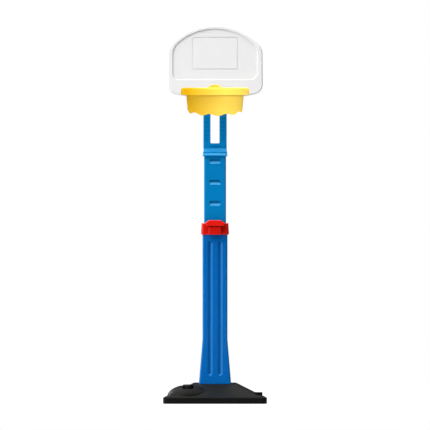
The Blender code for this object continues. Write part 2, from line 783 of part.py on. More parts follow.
def make_filler_cap():
    neck_top = POCKET_FLOOR + FILLER_NECK_HEIGHT
    roof = neck_top + SEAL_THICKNESS + 2 * CLEARANCE
    top = roof + CAP_ROOF
    bottom = POCKET_FLOOR + CAP_LIFT
    bore = FILLER_BORE + FILLER_NECK_WALL + SLIDE_FIT

    def ribbed(shrink):
        return shifted(fluted_outline(CAP_RADIUS - shrink, CAP_RIB_DEPTH, CAP_RIBS), FILLER_X, FILLER_Y)

    cap = loft("filler_cap", [
        level(ribbed(0.0), bottom),
        level(ribbed(0.0), top - CAP_ROOF / 2),
        level(ribbed(CAP_ROOF / 2), top),
    ], BLACK_FITTING)
    cut(cap, rods("cap_bore", [
        ((FILLER_X, FILLER_Y, bottom - CUT_MARGIN), (FILLER_X, FILLER_Y, roof), bore),
    ]))
    cut(cap, boxes("cap_slot", [(
        (FILLER_X - CAP_SLOT_LENGTH / 2, FILLER_Y - CAP_SLOT_WIDTH / 2, top - CAP_SLOT_DEPTH),
        (FILLER_X + CAP_SLOT_LENGTH / 2, FILLER_Y + CAP_SLOT_WIDTH / 2, top + CUT_MARGIN),
    )]))
    outer = FILLER_BORE + FILLER_NECK_WALL
    low = neck_top + CLEARANCE
    high = low + SEAL_THICKNESS
    seal = turned("filler_seal", [
        (outer - SEAL_WIDTH, high), (outer, high), (outer, low), (outer - SEAL_WIDTH, low),
    ], 32, (FILLER_X, FILLER_Y, 0.0), RUBBER, closed=True)
    return [cap, seal]


def post_section(width, depth, z, inset=0.0):
    return level(centred_rectangle(width - 2 * inset, depth - 2 * inset, POST_RADIUS - inset / 2), z)


def post_front(z):
    """Half the lower post's depth at a height: it flares below the top of the flare."""
    flare = max(0.0, (FLARE_TOP - z) / (FLARE_TOP - POST_SHOULDER))
    return (POST_DEPTH + flare * (FOOT_DEPTH - POST_DEPTH)) / 2


def grooves(name, grow, low=GROOVE_LOW, high=GROOVE_HIGH):
    """The two long V grooves in the front and in the back, each a loft up the face that it is cut in."""
    stations = [
        (low - grow, GROOVE_POINT), (low + GROOVE_END, 1.0),
        (high - GROOVE_END, 1.0), (high + grow, GROOVE_POINT),
    ]
    if low < FLARE_TOP:
        stations.insert(2, (FLARE_TOP, 1.0))
    shapes = []
    for face in (-1, 1):
        for side in (-1, 1):
            rings = []
            for z, fullness in stations:
                surface = post_front(z)
                half = (GROOVE_WIDTH / 2) * fullness + grow
                deep = GROOVE_DEPTH * fullness + grow
                spread = half * (1 + CUT_MARGIN / deep)
                floor = (GROOVE_FLOOR * fullness + grow) / 2
                centre = side * GROOVE_SPACING / 2
                rings.append([
                    (centre - spread, face * (surface + CUT_MARGIN), z),
                    (centre + spread, face * (surface + CUT_MARGIN), z),
                    (centre + floor, face * (surface - deep), z),
                    (centre - floor, face * (surface - deep), z),
                ])
            shapes.append(loft(f"{name}_{face}_{side}", rings))
    return shapes


def latch_window(name):
    """The way for the latch's tooth, through the collar's front and the top of the lower post."""
    return boxes(name, [(
        (-POCKET_HALF_WIDTH, HOUSING_FRONT + HOUSING_FRONT_WALL, TAB_BOTTOM - CUT_MARGIN),
        (POCKET_HALF_WIDTH, -INNER_DEPTH / 2, COLLAR_TOP + CUT_MARGIN),
    )])


def collar_side(z):
    """How far the collar's side stands out from the lower post at a height."""
    share = (z - COLLAR_BOTTOM) / (COLLAR_TOP - COLLAR_BOTTOM)
    return COLLAR_SIDE_BOTTOM + share * (COLLAR_SIDE_TOP - COLLAR_SIDE_BOTTOM)


def collar_screw_holes(name):
    """The holes for the collar's two rear screws, through the collar and the lower post."""
    start = POST_DEPTH / 2 + COLLAR_SIDE_BOTTOM
    end = POST_DEPTH / 2 - POST_WALL - CUT_MARGIN
    return rods(name, [
        ((side * COLLAR_SCREW_X, start, COLLAR_SCREW_Z), (side * COLLAR_SCREW_X, end, COLLAR_SCREW_Z),
         COLLAR_SCREW_RADIUS + SCREW_FIT)
        for side in (-1, 1)
    ], segments=12)


def make_lower_post():
    post = loft("lower_post", [
        post_section(SPIGOT_WIDTH, SPIGOT_DEPTH, SPIGOT_BOTTOM),
        post_section(SPIGOT_WIDTH, SPIGOT_DEPTH, POST_SHOULDER),
        post_section(FOOT_WIDTH, FOOT_DEPTH, POST_SHOULDER),
        post_section(POST_WIDTH, POST_DEPTH, FLARE_TOP),
        post_section(POST_WIDTH, POST_DEPTH, POST_TOP),
    ], BLUE)
    for groove in grooves("post_groove", 0.0):
        cut(post, groove)

    floor = SPIGOT_BOTTOM + SPIGOT_FLOOR
    hollow = loft("post_hollow", [
        post_section(SPIGOT_WIDTH, SPIGOT_DEPTH, floor, POST_WALL),
        post_section(SPIGOT_WIDTH, SPIGOT_DEPTH, POST_SHOULDER + POST_WALL, POST_WALL),
        post_section(FOOT_WIDTH, FOOT_DEPTH, POST_SHOULDER + 2 * POST_WALL, POST_WALL),
        post_section(POST_WIDTH, POST_DEPTH, FLARE_TOP, POST_WALL),
        post_section(POST_WIDTH, POST_DEPTH, POST_TOP + CUT_MARGIN, POST_WALL),
    ])
    for groove_wall in grooves("post_groove_wall", POST_WALL):
        cut(hollow, groove_wall)
    boss_top = SPIGOT_BOTTOM + BASE_SCREW_BITE + POST_WALL
    cut(hollow, rods("post_bosses", [
        ((x, y, SPIGOT_BOTTOM), (x, y, boss_top), BASE_SCREW_RADIUS + BOSS_WALL)
        for x, y in base_screw_places()
    ], segments=16))
    cut(post, hollow)
    cut(post, rods("post_screw_holes", [
        ((x, y, SPIGOT_BOTTOM - CUT_MARGIN), (x, y, boss_top - POST_WALL / 2), BASE_SCREW_RADIUS + SCREW_FIT)
        for x, y in base_screw_places()
    ], segments=12))
    cut(post, latch_window("post_window"))
    cut(post, collar_screw_holes("post_collar_holes"))


def latch_pin_rod(name, grow=0.0, surface=None):
    """The pin that the lever turns on, or the hole for it when it is grown and runs on past the housing."""
    reach = HOUSING_HALF_WIDTH + (CUT_MARGIN if grow else -CLEARANCE)
    return rods(name, [(
        (-reach, LATCH_PIVOT_Y, LATCH_PIVOT_Z), (reach, LATCH_PIVOT_Y, LATCH_PIVOT_Z),
        LATCH_PIN_RADIUS + grow,
    )], surface, segments=20)


def make_collar():
    def ring(z, inset):
        side = collar_side(z) - inset
        return level(centred_rectangle(POST_WIDTH + 2 * side, POST_DEPTH + 2 * side, POST_RADIUS + side), z)

    collar = loft("collar", [
        ring(COLLAR_BOTTOM, COLLAR_HEM_DRAFT),
        ring(COLLAR_BOTTOM + COLLAR_HEM, 0.0),
        ring(COLLAR_TOP - COLLAR_CHAMFER, 0.0),
        ring(COLLAR_TOP, COLLAR_CHAMFER),
    ], RED)
    housing = rounded_rectangle(
        (-HOUSING_HALF_WIDTH, HOUSING_FRONT), (HOUSING_HALF_WIDTH, -POST_DEPTH / 2), HOUSING_RADIUS,
    )
    join(collar, loft("collar_housing", [
        level(housing, COLLAR_BOTTOM + COLLAR_CHAMFER), level(housing, HOUSING_TOP),
    ]))
    seat_depth = POST_DEPTH + 2 * CLEARANCE
    seat = centred_rectangle(POST_WIDTH + 2 * CLEARANCE, seat_depth, POST_RADIUS)
    cut(collar, loft("collar_seat", [
        level(seat, COLLAR_BOTTOM - CUT_MARGIN), level(seat, POST_TOP + CLEARANCE),
    ]))
    way = centred_rectangle(INNER_WIDTH + 2 * SLIDE_FIT, INNER_DEPTH + 2 * SLIDE_FIT, INNER_RADIUS)
    cut(collar, loft("collar_way", [level(way, COLLAR_BOTTOM), level(way, COLLAR_TOP + CUT_MARGIN)]))
    cut(collar, boxes("collar_pocket", [(
        (-POCKET_HALF_WIDTH, HOUSING_FRONT + HOUSING_FRONT_WALL, COLLAR_BOTTOM + HOUSING_FLOOR),
        (POCKET_HALF_WIDTH, -seat_depth / 2 - HOUSING_BACK_WALL, COLLAR_TOP),
    )]))
    cut(collar, latch_window("collar_window"))
    cut(collar, latch_pin_rod("collar_pin_holes", SCREW_FIT))
    cut(collar, collar_screw_holes("collar_screw_holes"))
    head_seat = POST_DEPTH / 2 + collar_side(COLLAR_SCREW_Z) - COLLAR_SCREW_HEAD_HEIGHT
    cut(collar, rods("collar_screw_seats", [
        ((side * COLLAR_SCREW_X, head_seat, COLLAR_SCREW_Z),
         (side * COLLAR_SCREW_X, head_seat + 3 * COLLAR_SCREW_HEAD_HEIGHT, COLLAR_SCREW_Z),
         COLLAR_SCREW_HEAD + SCREW_FIT)
        for side in (-1, 1)
    ], segments=16))
    head_face = head_seat + CLEARANCE + COLLAR_SCREW_HEAD_HEIGHT
    length = head_face - (POST_DEPTH / 2 - POST_WALL) + COLLAR_SCREW_REACH
    for number, side in enumerate((-1, 1), 1):
        screw(
            f"collar_screw_{number}", (side * COLLAR_SCREW_X, head_face, COLLAR_SCREW_Z), "back", length,
            COLLAR_SCREW_RADIUS, COLLAR_SCREW_HEAD, COLLAR_SCREW_HEAD_HEIGHT,
        )


def tab_outline(inset):
    """The tab from the front: six-sided, widest at its shoulder, with each corner cut by the tab's edge."""
    low = TAB_BOTTOM + inset / 4
    top = TAB_BOTTOM + TAB_HEIGHT - inset * TAB_FACE_DROP / TAB_FACE_INSET
    shoulder_low = TAB_BOTTOM + TAB_SHOULDER_RISE - TAB_EDGE / 4
    shoulder_high = top - TAB_SHOULDER_DROP + TAB_EDGE / 4
    right = [
        (TAB_BOTTOM_WIDTH / 2 - inset, low),
        (TAB_MIDDLE_WIDTH / 2 - inset, shoulder_low),
        (TAB_MIDDLE_WIDTH / 2 - inset, shoulder_high),
        (TAB_TOP_WIDTH / 2 - inset / 4 + TAB_EDGE / 8, top - TAB_EDGE / 4),
        (TAB_TOP_WIDTH / 2 - inset / 4 - TAB_EDGE / 4, top),
    ]
    return right + [(-x, z) for x, z in reversed(right)]


def make_latch():
    tooth_tip = -INNER_DEPTH / 2 - TOOTH_TIP_GAP
    foot_low = LATCH_PIVOT_Z + LEVER_FOOT_RISE
    foot_high = foot_low + LEVER_FOOT_HEIGHT
    profile = [
        (ARM_BACK, LATCH_PIVOT_Z - ARM_DROP),
        (ARM_BACK, TAB_BOTTOM),
        (tooth_tip - TOOTH_SLOPE, TAB_BOTTOM),
        (tooth_tip, TOOTH_TOP - TOOTH_HEIGHT),
        (tooth_tip, TOOTH_TOP),
        (ARM_FRONT, TOOTH_TOP),
        (ARM_FRONT, foot_high),
        (LEVER_FOOT_FRONT, foot_high),
        (LEVER_FOOT_FRONT, foot_low),
        (LEVER_FOOT_BACK, foot_low),
        (LEVER_FOOT_BACK, LATCH_PIVOT_Z - ARM_DROP),
    ]
    lever = plate("latch_lever", [profile], 2 * LATCH_HALF_WIDTH, facing_side(0.0), BRIGHT_RED)
    back = -POST_DEPTH / 2 - collar_side(TAB_BOTTOM) - TAB_BACK_GAP
    join(lever, loft("latch_tab", [
        upright(tab_outline(TAB_FACE_INSET), TAB_FRONT),
        upright(tab_outline(TAB_FACE_INSET / 4), TAB_FRONT + TAB_EDGE / 4),
        upright(tab_outline(0.0), TAB_FRONT + TAB_EDGE),
        upright(tab_outline(0.0), back),
    ]))
    cut(lever, latch_pin_rod("lever_pin_hole", SCREW_FIT))
    latch_pin_rod("latch_pin", 0.0, STEEL)
    return lever


def make_latch_spring():
    """The spring under the lever's foot. Its ends run straight up and down to what they press on."""
    low = COLLAR_BOTTOM + HOUSING_FLOOR + CLEARANCE
    high = LATCH_PIVOT_Z + LEVER_FOOT_RISE - CLEARANCE
    straight = 2 * SPRING_WIRE
    turns = SPRING_CURLS * SPRING_POINTS
    rise = (high - low - 4 * straight) / turns
    coil = []
    for step in range(turns + 1):
        angle = 2 * pi * step / SPRING_POINTS
        coil.append(Vector((
            SPRING_RADIUS * cos(angle), SPRING_Y + SPRING_RADIUS * sin(angle),
            low + 2 * straight + rise * step,
        )))
    start = [Vector((SPRING_RADIUS, SPRING_Y, low)), Vector((SPRING_RADIUS, SPRING_Y, low + straight))]
    end = [Vector((SPRING_RADIUS, SPRING_Y, high - straight)), Vector((SPRING_RADIUS, SPRING_Y, high))]
    points = start + coil + end
    curve = bpy.data.curves.new("latch_spring", "CURVE")
    curve.dimensions = "3D"
    curve.bevel_depth = SPRING_WIRE
    curve.bevel_resolution = 1
    curve.use_fill_caps = True
    spline = curve.splines.new("POLY")
    spline.points.add(len(points) - 1)
    for point, position in zip(spline.points, points):
        point.co = (*position, 1.0)
    place(bpy.data.objects.new("latch_spring", curve), STEEL)
    least = min(
        (coil[index] - coil[other]).length
        for index in range(len(coil)) for other in range(index + SPRING_POINTS - 2, len(coil))
    )
    print(f"latch spring: least gap between its curls is {(least - 2 * SPRING_WIRE) * 1000:.2f} mm")


def notch_profile(top, grow):
    """One ratchet notch from the side: a flat top that rests on the tooth, a back, and a slope out."""
    face = -INNER_DEPTH / 2
    deep = face + NOTCH_DEPTH + grow
    return [
        (face - CUT_MARGIN, top + grow),
        (deep, top + grow),
        (deep, top - NOTCH_BACK - grow / 2),
        (face, top - NOTCH_HEIGHT - grow),
        (face - CUT_MARGIN, top - NOTCH_HEIGHT - grow),
    ]


def neck_screw_holes(name):
    """The holes for the screws through the lip, the inner post and the plug."""
    start = LIP_REAR + CUT_MARGIN
    end = INNER_DEPTH / 2 - INNER_WALL - PLUG_FIT - NECK_WALL - CUT_MARGIN
    return rods(name, [
        ((side * NECK_SCREW_X, start, NECK_SCREW_Z), (side * NECK_SCREW_X, end, NECK_SCREW_Z),
         NECK_SCREW_RADIUS + SCREW_FIT)
        for side in (-1, 1)
    ], segments=12)


def make_inner_post():
    outside = centred_rectangle(INNER_WIDTH, INNER_DEPTH, INNER_RADIUS)
    inner_top = INNER_TOP - CLEARANCE
    post = loft("inner_post", [level(outside, INNER_BOTTOM), level(outside, inner_top)], LIGHT_BLUE)
    inside = centred_rectangle(INNER_WIDTH - 2 * INNER_WALL, INNER_DEPTH - 2 * INNER_WALL, INNER_RADIUS / 2)
    hollow = loft("inner_hollow", [
        level(inside, INNER_BOTTOM - CUT_MARGIN), level(inside, inner_top + CUT_MARGIN),
    ])
    for index in range(NOTCH_COUNT):
        top = NOTCH_LOW_TOP + index * NOTCH_PITCH
        cut(hollow, plate(
            f"notch_wall_{index}", [notch_profile(top, INNER_WALL)], NOTCH_WIDTH + 2 * INNER_WALL,
            facing_side(0.0),
        ))
        cut(post, plate(f"notch_{index}", [notch_profile(top, 0.0)], NOTCH_WIDTH, facing_side(0.0)))
    cut(post, hollow)
    cut(post, neck_screw_holes("inner_screw_holes"))
    return post


def make_glide_shoe():
    width = POST_WIDTH - 2 * POST_WALL - 2 * SLIDE_FIT
    depth = POST_DEPTH - 2 * POST_WALL - 2 * SLIDE_FIT
    outline = centred_rectangle(width, depth, POST_RADIUS - POST_WALL / 2)
    top = INNER_BOTTOM - CLEARANCE
    shoe = loft("glide_shoe", [level(outline, top - SHOE_HEIGHT), level(outline, top)], BLACK_FITTING)
    for groove in grooves("shoe_way", POST_WALL + SLIDE_FIT, low=FLARE_TOP + GROOVE_END):
        cut(shoe, groove)
    plug_width = INNER_WIDTH - 2 * INNER_WALL - 2 * PLUG_FIT
    plug_depth = INNER_DEPTH - 2 * INNER_WALL - 2 * PLUG_FIT
    plug = centred_rectangle(plug_width, plug_depth, INNER_RADIUS / 2)
    join(shoe, loft("shoe_plug", [
        level(plug, top - SHOE_HEIGHT / 2), level(plug, top + SHOE_PLUG_HEIGHT),
    ]))
    bore = centred_rectangle(plug_width - 2 * SHOE_WALL, plug_depth - 2 * SHOE_WALL, INNER_RADIUS / 2)
    cut(shoe, loft("shoe_bore", [
        level(bore, top - SHOE_HEIGHT - CUT_MARGIN), level(bore, top + SHOE_PLUG_HEIGHT + CUT_MARGIN),
    ]))
    return shoe


def neck_section(half_width, front, rear, z):
    return level(rounded_rectangle((-half_width, front), (half_width, rear), NECK_RADIUS), z)


def make_neck():
    lip_half = INNER_WIDTH / 2 + LIP_SIDE
    post_face = -INNER_DEPTH / 2
    rings = [
        neck_section(lip_half, LIP_FRONT, LIP_REAR, LIP_BOTTOM),
        neck_section(lip_half, LIP_FRONT, LIP_REAR, LIP_BOTTOM + LIP_BAND),
        neck_section(lip_half - LIP_TAPER, post_face, LIP_REAR, LIP_BOTTOM + LIP_BAND + LIP_SLOPE),
        neck_section(lip_half - 2 * LIP_TAPER, post_face, LIP_REAR - LIP_TAPER, SHOULDER_LOW),
        neck_section(NECK_WIDTH / 2, RAIL_FRONT, RAIL_REAR, SHOULDER_HIGH),
    ]
    for step in range(NECK_TOP_STEPS + 1):
        angle = pi / 2 * step / NECK_TOP_STEPS
        half = NECK_WIDTH / 2 - NECK_TOP_RADIUS * (1 - cos(angle))
        z = NECK_TOP - NECK_TOP_RADIUS * (1 - sin(angle))
        rings.append(neck_section(half, RAIL_FRONT, RAIL_REAR, z))
    neck = loft("neck", rings, LIGHT_BLUE)

    socket = centred_rectangle(INNER_WIDTH + 2 * PLUG_FIT, INNER_DEPTH + 2 * PLUG_FIT, INNER_RADIUS)
    cut(neck, loft("neck_socket", [level(socket, LIP_BOTTOM - CUT_MARGIN), level(socket, INNER_TOP)]))
    plug_half = INNER_WIDTH / 2 - INNER_WALL - PLUG_FIT
    plug_rear = INNER_DEPTH / 2 - INNER_WALL - PLUG_FIT
    plug_front = post_face + NOTCH_DEPTH + INNER_WALL + PLUG_RELIEF
    plug_low = INNER_TOP - PLUG_LENGTH
    join(neck, loft("neck_plug", [
        neck_section(plug_half, plug_front, plug_rear, plug_low),
        neck_section(plug_half, plug_front, plug_rear, INNER_TOP + CUT_MARGIN),
    ]))
    bore_half = plug_half - NECK_WALL
    cut(neck, loft("neck_plug_bore", [
        neck_section(bore_half, plug_front + NECK_WALL, plug_rear - NECK_WALL, plug_low - CUT_MARGIN),
        neck_section(bore_half, plug_front + NECK_WALL, plug_rear - NECK_WALL, SHOULDER_LOW),
    ]))

    slot = rounded_rectangle((-SLOT_WIDTH / 2, SLOT_BOTTOM), (SLOT_WIDTH / 2, SLOT_TOP), SLOT_RADIUS)
    cut(neck, loft("neck_slot", [
        upright(slot, RAIL_FRONT - CUT_MARGIN), upright(slot, RAIL_REAR + CUT_MARGIN),
    ]))
    cut(neck, boxes("neck_pockets", neck_pocket_spans()))
    cut(neck, boxes("neck_serrations", serration_spans()))
    crease_top = SLOT_BOTTOM - CREASE_DROP
    cut(neck, boxes("neck_crease", [(
        (-CREASE_WIDTH / 2, RAIL_FRONT - CUT_MARGIN, crease_top - SERRATION_HEIGHT),
        (CREASE_WIDTH / 2, RAIL_FRONT + SERRATION_DEPTH, crease_top),
    )]))
    cut(neck, neck_screw_holes("neck_screw_holes"))
    return neck


def neck_pocket_spans():
    """The open pockets in the neck's back: in both rails between cross ribs, and above and below the slot."""
    inner = SLOT_WIDTH / 2 + NECK_WALL
    outer = NECK_WIDTH / 2 - NECK_WALL
    front = RAIL_FRONT + NECK_WALL
    rear = RAIL_REAR + CUT_MARGIN
    pitch = RIB_SERRATIONS * SERRATION_PITCH
    rows = []
    low = SLOT_BOTTOM + RIB_THICKNESS / 2
    while low + pitch - RIB_THICKNESS < SLOT_TOP:
        rows.append((low, low + pitch - RIB_THICKNESS))
        low += pitch
    rows.append((low, NECK_TOP - NECK_TOP_RADIUS))
    spans = []
    for low, high in rows:
        spans.append(((-outer, front, low), (-inner, rear, high)))
        spans.append(((inner, front, low), (outer, rear, high)))
    middle = inner - NECK_WALL
    spans.append(((-middle, front, SLOT_TOP + NECK_WALL), (middle, rear, NECK_TOP - NECK_WALL)))
    spans.append(((-outer, front, SHOULDER_HIGH + NECK_WALL), (outer, rear, SLOT_BOTTOM - NECK_WALL)))
    return spans


def serration_spans():
    """Shallow steps across both rails' faces: one for each place that the board can be set at."""
    count = int((SLOT_TOP - SLOT_BOTTOM) / SERRATION_PITCH)
    centre = (SLOT_WIDTH / 2 + NECK_WIDTH / 2) / 2
    spans = []
    for row in range(1, count):
        z = SLOT_BOTTOM + row * SERRATION_PITCH
        for side in (-1, 1):
            low = side * centre - SERRATION_WIDTH / 2
            spans.append((
                (low, RAIL_FRONT - CUT_MARGIN, z - SERRATION_HEIGHT / 2),
                (low + SERRATION_WIDTH, RAIL_FRONT + SERRATION_DEPTH, z + SERRATION_HEIGHT / 2),
            ))
    return spans


def make_neck_screws():
    head_face = LIP_REAR + CLEARANCE + NECK_SCREW_HEAD_HEIGHT
    plug_inside = INNER_DEPTH / 2 - INNER_WALL - PLUG_FIT - NECK_WALL
    return [
        screw(
            f"neck_screw_{number}", (side * NECK_SCREW_X, head_face, NECK_SCREW_Z), "back",
            head_face - plug_inside, NECK_SCREW_RADIUS, NECK_SCREW_HEAD, NECK_SCREW_HEAD_HEIGHT,
        )
        for number, side in enumerate((-1, 1), 1)
    ]


def board_outline(inset):
    return arched_outline(
        BOARD_WIDTH / 2 - inset, BOARD_CROWN - inset, BOARD_CROWN_RADIUS - inset,
        BOARD_SHOULDER_RADIUS - inset, BOARD_CORNER_RADIUS - inset,
        BOARD_BOTTOM + inset, BOARD_BOTTOM_RADIUS - inset,
    )


def panel_outline(grow):
    """The recessed panel: the board's arch drawn in, over a bottom edge that is nearly straight."""
    return arched_outline(
        BOARD_WIDTH / 2 - PANEL_MARGIN_SIDE + grow, BOARD_CROWN - PANEL_MARGIN_TOP + grow,
        BOARD_CROWN_RADIUS - PANEL_MARGIN_TOP + grow, PANEL_SHOULDER_RADIUS + grow,
        PANEL_CORNER_RADIUS + grow, PANEL_BOTTOM - grow, PANEL_BOTTOM_RADIUS,
    )


def board_boss_rods(name):
    """What stays solid behind the board's face: round bosses for the bolt and for the guide's screws."""
    stretches = [((0.0, BOARD_FRONT, CLAMP_Z), (0.0, BOARD_REAR, CLAMP_Z), CLAMP_BOSS_RADIUS)]
    for side in (-1, 1):
        z = CLAMP_Z + side * GUIDE_SCREW_RISE
        stretches.append(((0.0, BOARD_FRONT, z), (0.0, BOARD_REAR, z), GUIDE_SCREW_RADIUS + BOSS_WALL))
    return rods(name, stretches)


def board_column_spans():
    """Upright ribs behind the board's face, and two runners that slide on the neck's rails."""
    low = BOARD_BOTTOM
    rear = BOARD_REAR - BOARD_RIB_SETBACK
    spans = []
    for side in (-1, 1):
        runner = side * RUNNER_SPACING / 2
        spans.append(((runner - BOARD_RIB, BOARD_FRONT, low), (runner + BOARD_RIB, BOARD_REAR, RUNNER_TOP)))
        for column in (1, 2):
            x = side * BOARD_RIB_SPACING * column
            spans.append(((x - BOARD_RIB / 2, BOARD_FRONT, low), (x + BOARD_RIB / 2, rear, BOARD_CROWN)))
    return spans


def board_row_spans():
    """Level ribs behind the board's face."""
    rear = BOARD_REAR - BOARD_RIB_SETBACK
    half = BOARD_WIDTH / 2
    rows = [CLAMP_Z + row * BOARD_ROW_PITCH for row in range(BOARD_RIB_ROWS)]
    return [((-half, BOARD_FRONT, z - BOARD_RIB / 2), (half, rear, z + BOARD_RIB / 2)) for z in rows]


def guide_screw_places():
    return [(0.0, CLAMP_Z + side * GUIDE_SCREW_RISE) for side in (-1, 1)]


def guide_screw_holes(name):
    """The holes for the screws through the slot guide into the board's bosses."""
    end = BOARD_REAR - GUIDE_SCREW_BITE - CUT_MARGIN / 2
    return rods(name, [
        ((x, GUIDE_REAR, z), (x, end, z), GUIDE_SCREW_RADIUS + SCREW_FIT) for x, z in guide_screw_places()
    ], segments=12)


def hoop_screw_places():
    return [(side * HOOP_SCREW_X, HOOP_SCREW_Z) for side in (-1, 1)]


def hoop_screw_holes(name):
    """The holes for the screws from inside the board into the hoop's bracket."""
    start = BOARD_FRONT + BOARD_WALL + CUT_MARGIN
    end = BRACKET_REAR - HOOP_SCREW_BITE - CLEARANCE
    return rods(name, [
        ((x, start, z), (x, end, z), HOOP_SCREW_RADIUS + SCREW_FIT) for x, z in hoop_screw_places()
    ], segments=12)


def make_backboard():
    rings = []
    for step in range(BOARD_EDGE_STEPS + 1):
        angle = pi / 2 * step / BOARD_EDGE_STEPS
        inset = BOARD_EDGE * (1 - sin(angle))
        rings.append(upright(board_outline(inset), BOARD_FRONT + BOARD_EDGE * (1 - cos(angle))))
    rings.append(upright(board_outline(0.0), BOARD_REAR))
    board = loft("backboard", rings, WHITE)
    cut(board, loft("board_panel", [
        upright(panel_outline(PANEL_DRAFT), BOARD_FRONT - CUT_MARGIN),
        upright(panel_outline(0.0), BOARD_FRONT + PANEL_DEPTH),
    ]))

    hollow = loft("board_hollow", [
        upright(board_outline(BOARD_WALL), BOARD_FRONT + BOARD_WALL),
        upright(board_outline(BOARD_WALL), BOARD_REAR + CUT_MARGIN),
    ])
    cut(hollow, loft("board_panel_wall", [
        upright(panel_outline(BOARD_WALL), BOARD_FRONT),
        upright(panel_outline(BOARD_WALL), BOARD_FRONT + PANEL_DEPTH + BOARD_WALL),
    ]))
    cut(hollow, boxes("board_columns", board_column_spans()))
    cut(hollow, boxes("board_rows", board_row_spans()))
    cut(hollow, board_boss_rods("board_bosses"))
    cut(board, hollow)

    def target_outline(grow):
        half = TARGET_WIDTH / 2 + grow
        low, high = TARGET_BOTTOM - grow, TARGET_BOTTOM + TARGET_HEIGHT + grow
        return rounded_rectangle((-half, low), (half, high), TARGET_RADIUS + grow)

    target = [target_outline(TARGET_LINE / 2), target_outline(-TARGET_LINE / 2)]
    cut(board, plate("board_target", target, 2 * TARGET_DEPTH, facing_front(BOARD_FRONT + PANEL_DEPTH)))
    cut(board, rods("board_bolt_hole", [
        ((0.0, BOARD_FRONT - CUT_MARGIN, CLAMP_Z), (0.0, BOARD_REAR + CUT_MARGIN, CLAMP_Z),
         CLAMP_BOLT_RADIUS + SCREW_FIT),
    ]))
    cut(board, rods("board_bolt_seat", [
        ((0.0, BOARD_FRONT - CUT_MARGIN, CLAMP_Z),
         (0.0, BOARD_FRONT + CLAMP_HEAD_HEIGHT + 2 * CLEARANCE, CLAMP_Z), CLAMP_HEAD_RADIUS + SCREW_FIT),
    ]))
    cut(board, guide_screw_holes("board_guide_holes"))
    cut(board, hoop_screw_holes("board_hoop_holes"))
    return board


def make_slot_guide():
    half = SLOT_WIDTH / 2 - SLIDE_FIT
    outline = rounded_rectangle(
        (-half, CLAMP_Z - GUIDE_HEIGHT / 2), (half, CLAMP_Z + GUIDE_HEIGHT / 2), SLOT_RADIUS,
    )
    guide = loft("slot_guide", [
        upright(outline, BOARD_REAR + CLEARANCE), upright(outline, GUIDE_REAR),
    ], BLACK_FITTING)
    cut(guide, rods("guide_bolt_hole", [
        ((0.0, BOARD_REAR - CUT_MARGIN, CLAMP_Z), (0.0, GUIDE_REAR + CUT_MARGIN, CLAMP_Z),
         CLAMP_BOLT_RADIUS + SCREW_FIT),
    ]))
    cut(guide, guide_screw_holes("guide_holes"))
    seat = GUIDE_REAR - GUIDE_COUNTERBORE
    cut(guide, rods("guide_counterbores", [
        ((x, seat, z), (x, GUIDE_REAR + CUT_MARGIN, z), GUIDE_SCREW_HEAD + SCREW_FIT)
        for x, z in guide_screw_places()
    ], segments=16))
    head_face = seat + CLEARANCE + GUIDE_SCREW_HEAD_HEIGHT
    length = head_face - BOARD_REAR + GUIDE_SCREW_BITE
    screws = [
        screw(
            f"guide_screw_{number}", (x, head_face, z), "back", length,
            GUIDE_SCREW_RADIUS, GUIDE_SCREW_HEAD, GUIDE_SCREW_HEAD_HEIGHT,
        )
        for number, (x, z) in enumerate(guide_screw_places(), 1)
    ]
    return [guide, *screws]


def make_clamp():
    """The bolt through the slot, the plate behind the rails and the washer under the knob."""
    head_face = BOARD_FRONT + CLEARANCE
    bolt_length = KNOB_REAR - KNOB_CAP - CLEARANCE - head_face
    bolt = turned("clamp_bolt", [
        (0.0, 0.0), (CLAMP_HEAD_RADIUS, 0.0), (CLAMP_HEAD_RADIUS, -CLAMP_HEAD_HEIGHT),
        (CLAMP_BOLT_RADIUS, -CLAMP_HEAD_HEIGHT), (CLAMP_BOLT_RADIUS, -bolt_length), (0.0, -bolt_length),
    ], 24, (0.0, head_face, CLAMP_Z), STEEL, facing="front")

    hole = CLAMP_BOLT_RADIUS + SCREW_FIT
    outline = shifted(centred_rectangle(PLATE_WIDTH, PLATE_HEIGHT, PLATE_RADIUS), 0.0, CLAMP_Z)
    clamp_plate = loft("clamp_plate", [
        upright(outline, PLATE_FRONT), upright(outline, PLATE_FRONT + PLATE_THICKNESS),
    ], BLACK_FITTING)
    cut(clamp_plate, rods("plate_hole", [
        ((0.0, PLATE_FRONT - CUT_MARGIN, CLAMP_Z), (0.0, WASHER_FRONT + CUT_MARGIN, CLAMP_Z), hole),
    ]))
    washer = turned("clamp_washer", [
        (hole, WASHER_THICKNESS), (WASHER_RADIUS, WASHER_THICKNESS), (WASHER_RADIUS, 0.0), (hole, 0.0),
    ], 24, (0.0, WASHER_FRONT, CLAMP_Z), STEEL, closed=True, facing="back")
    return [bolt, clamp_plate, washer]


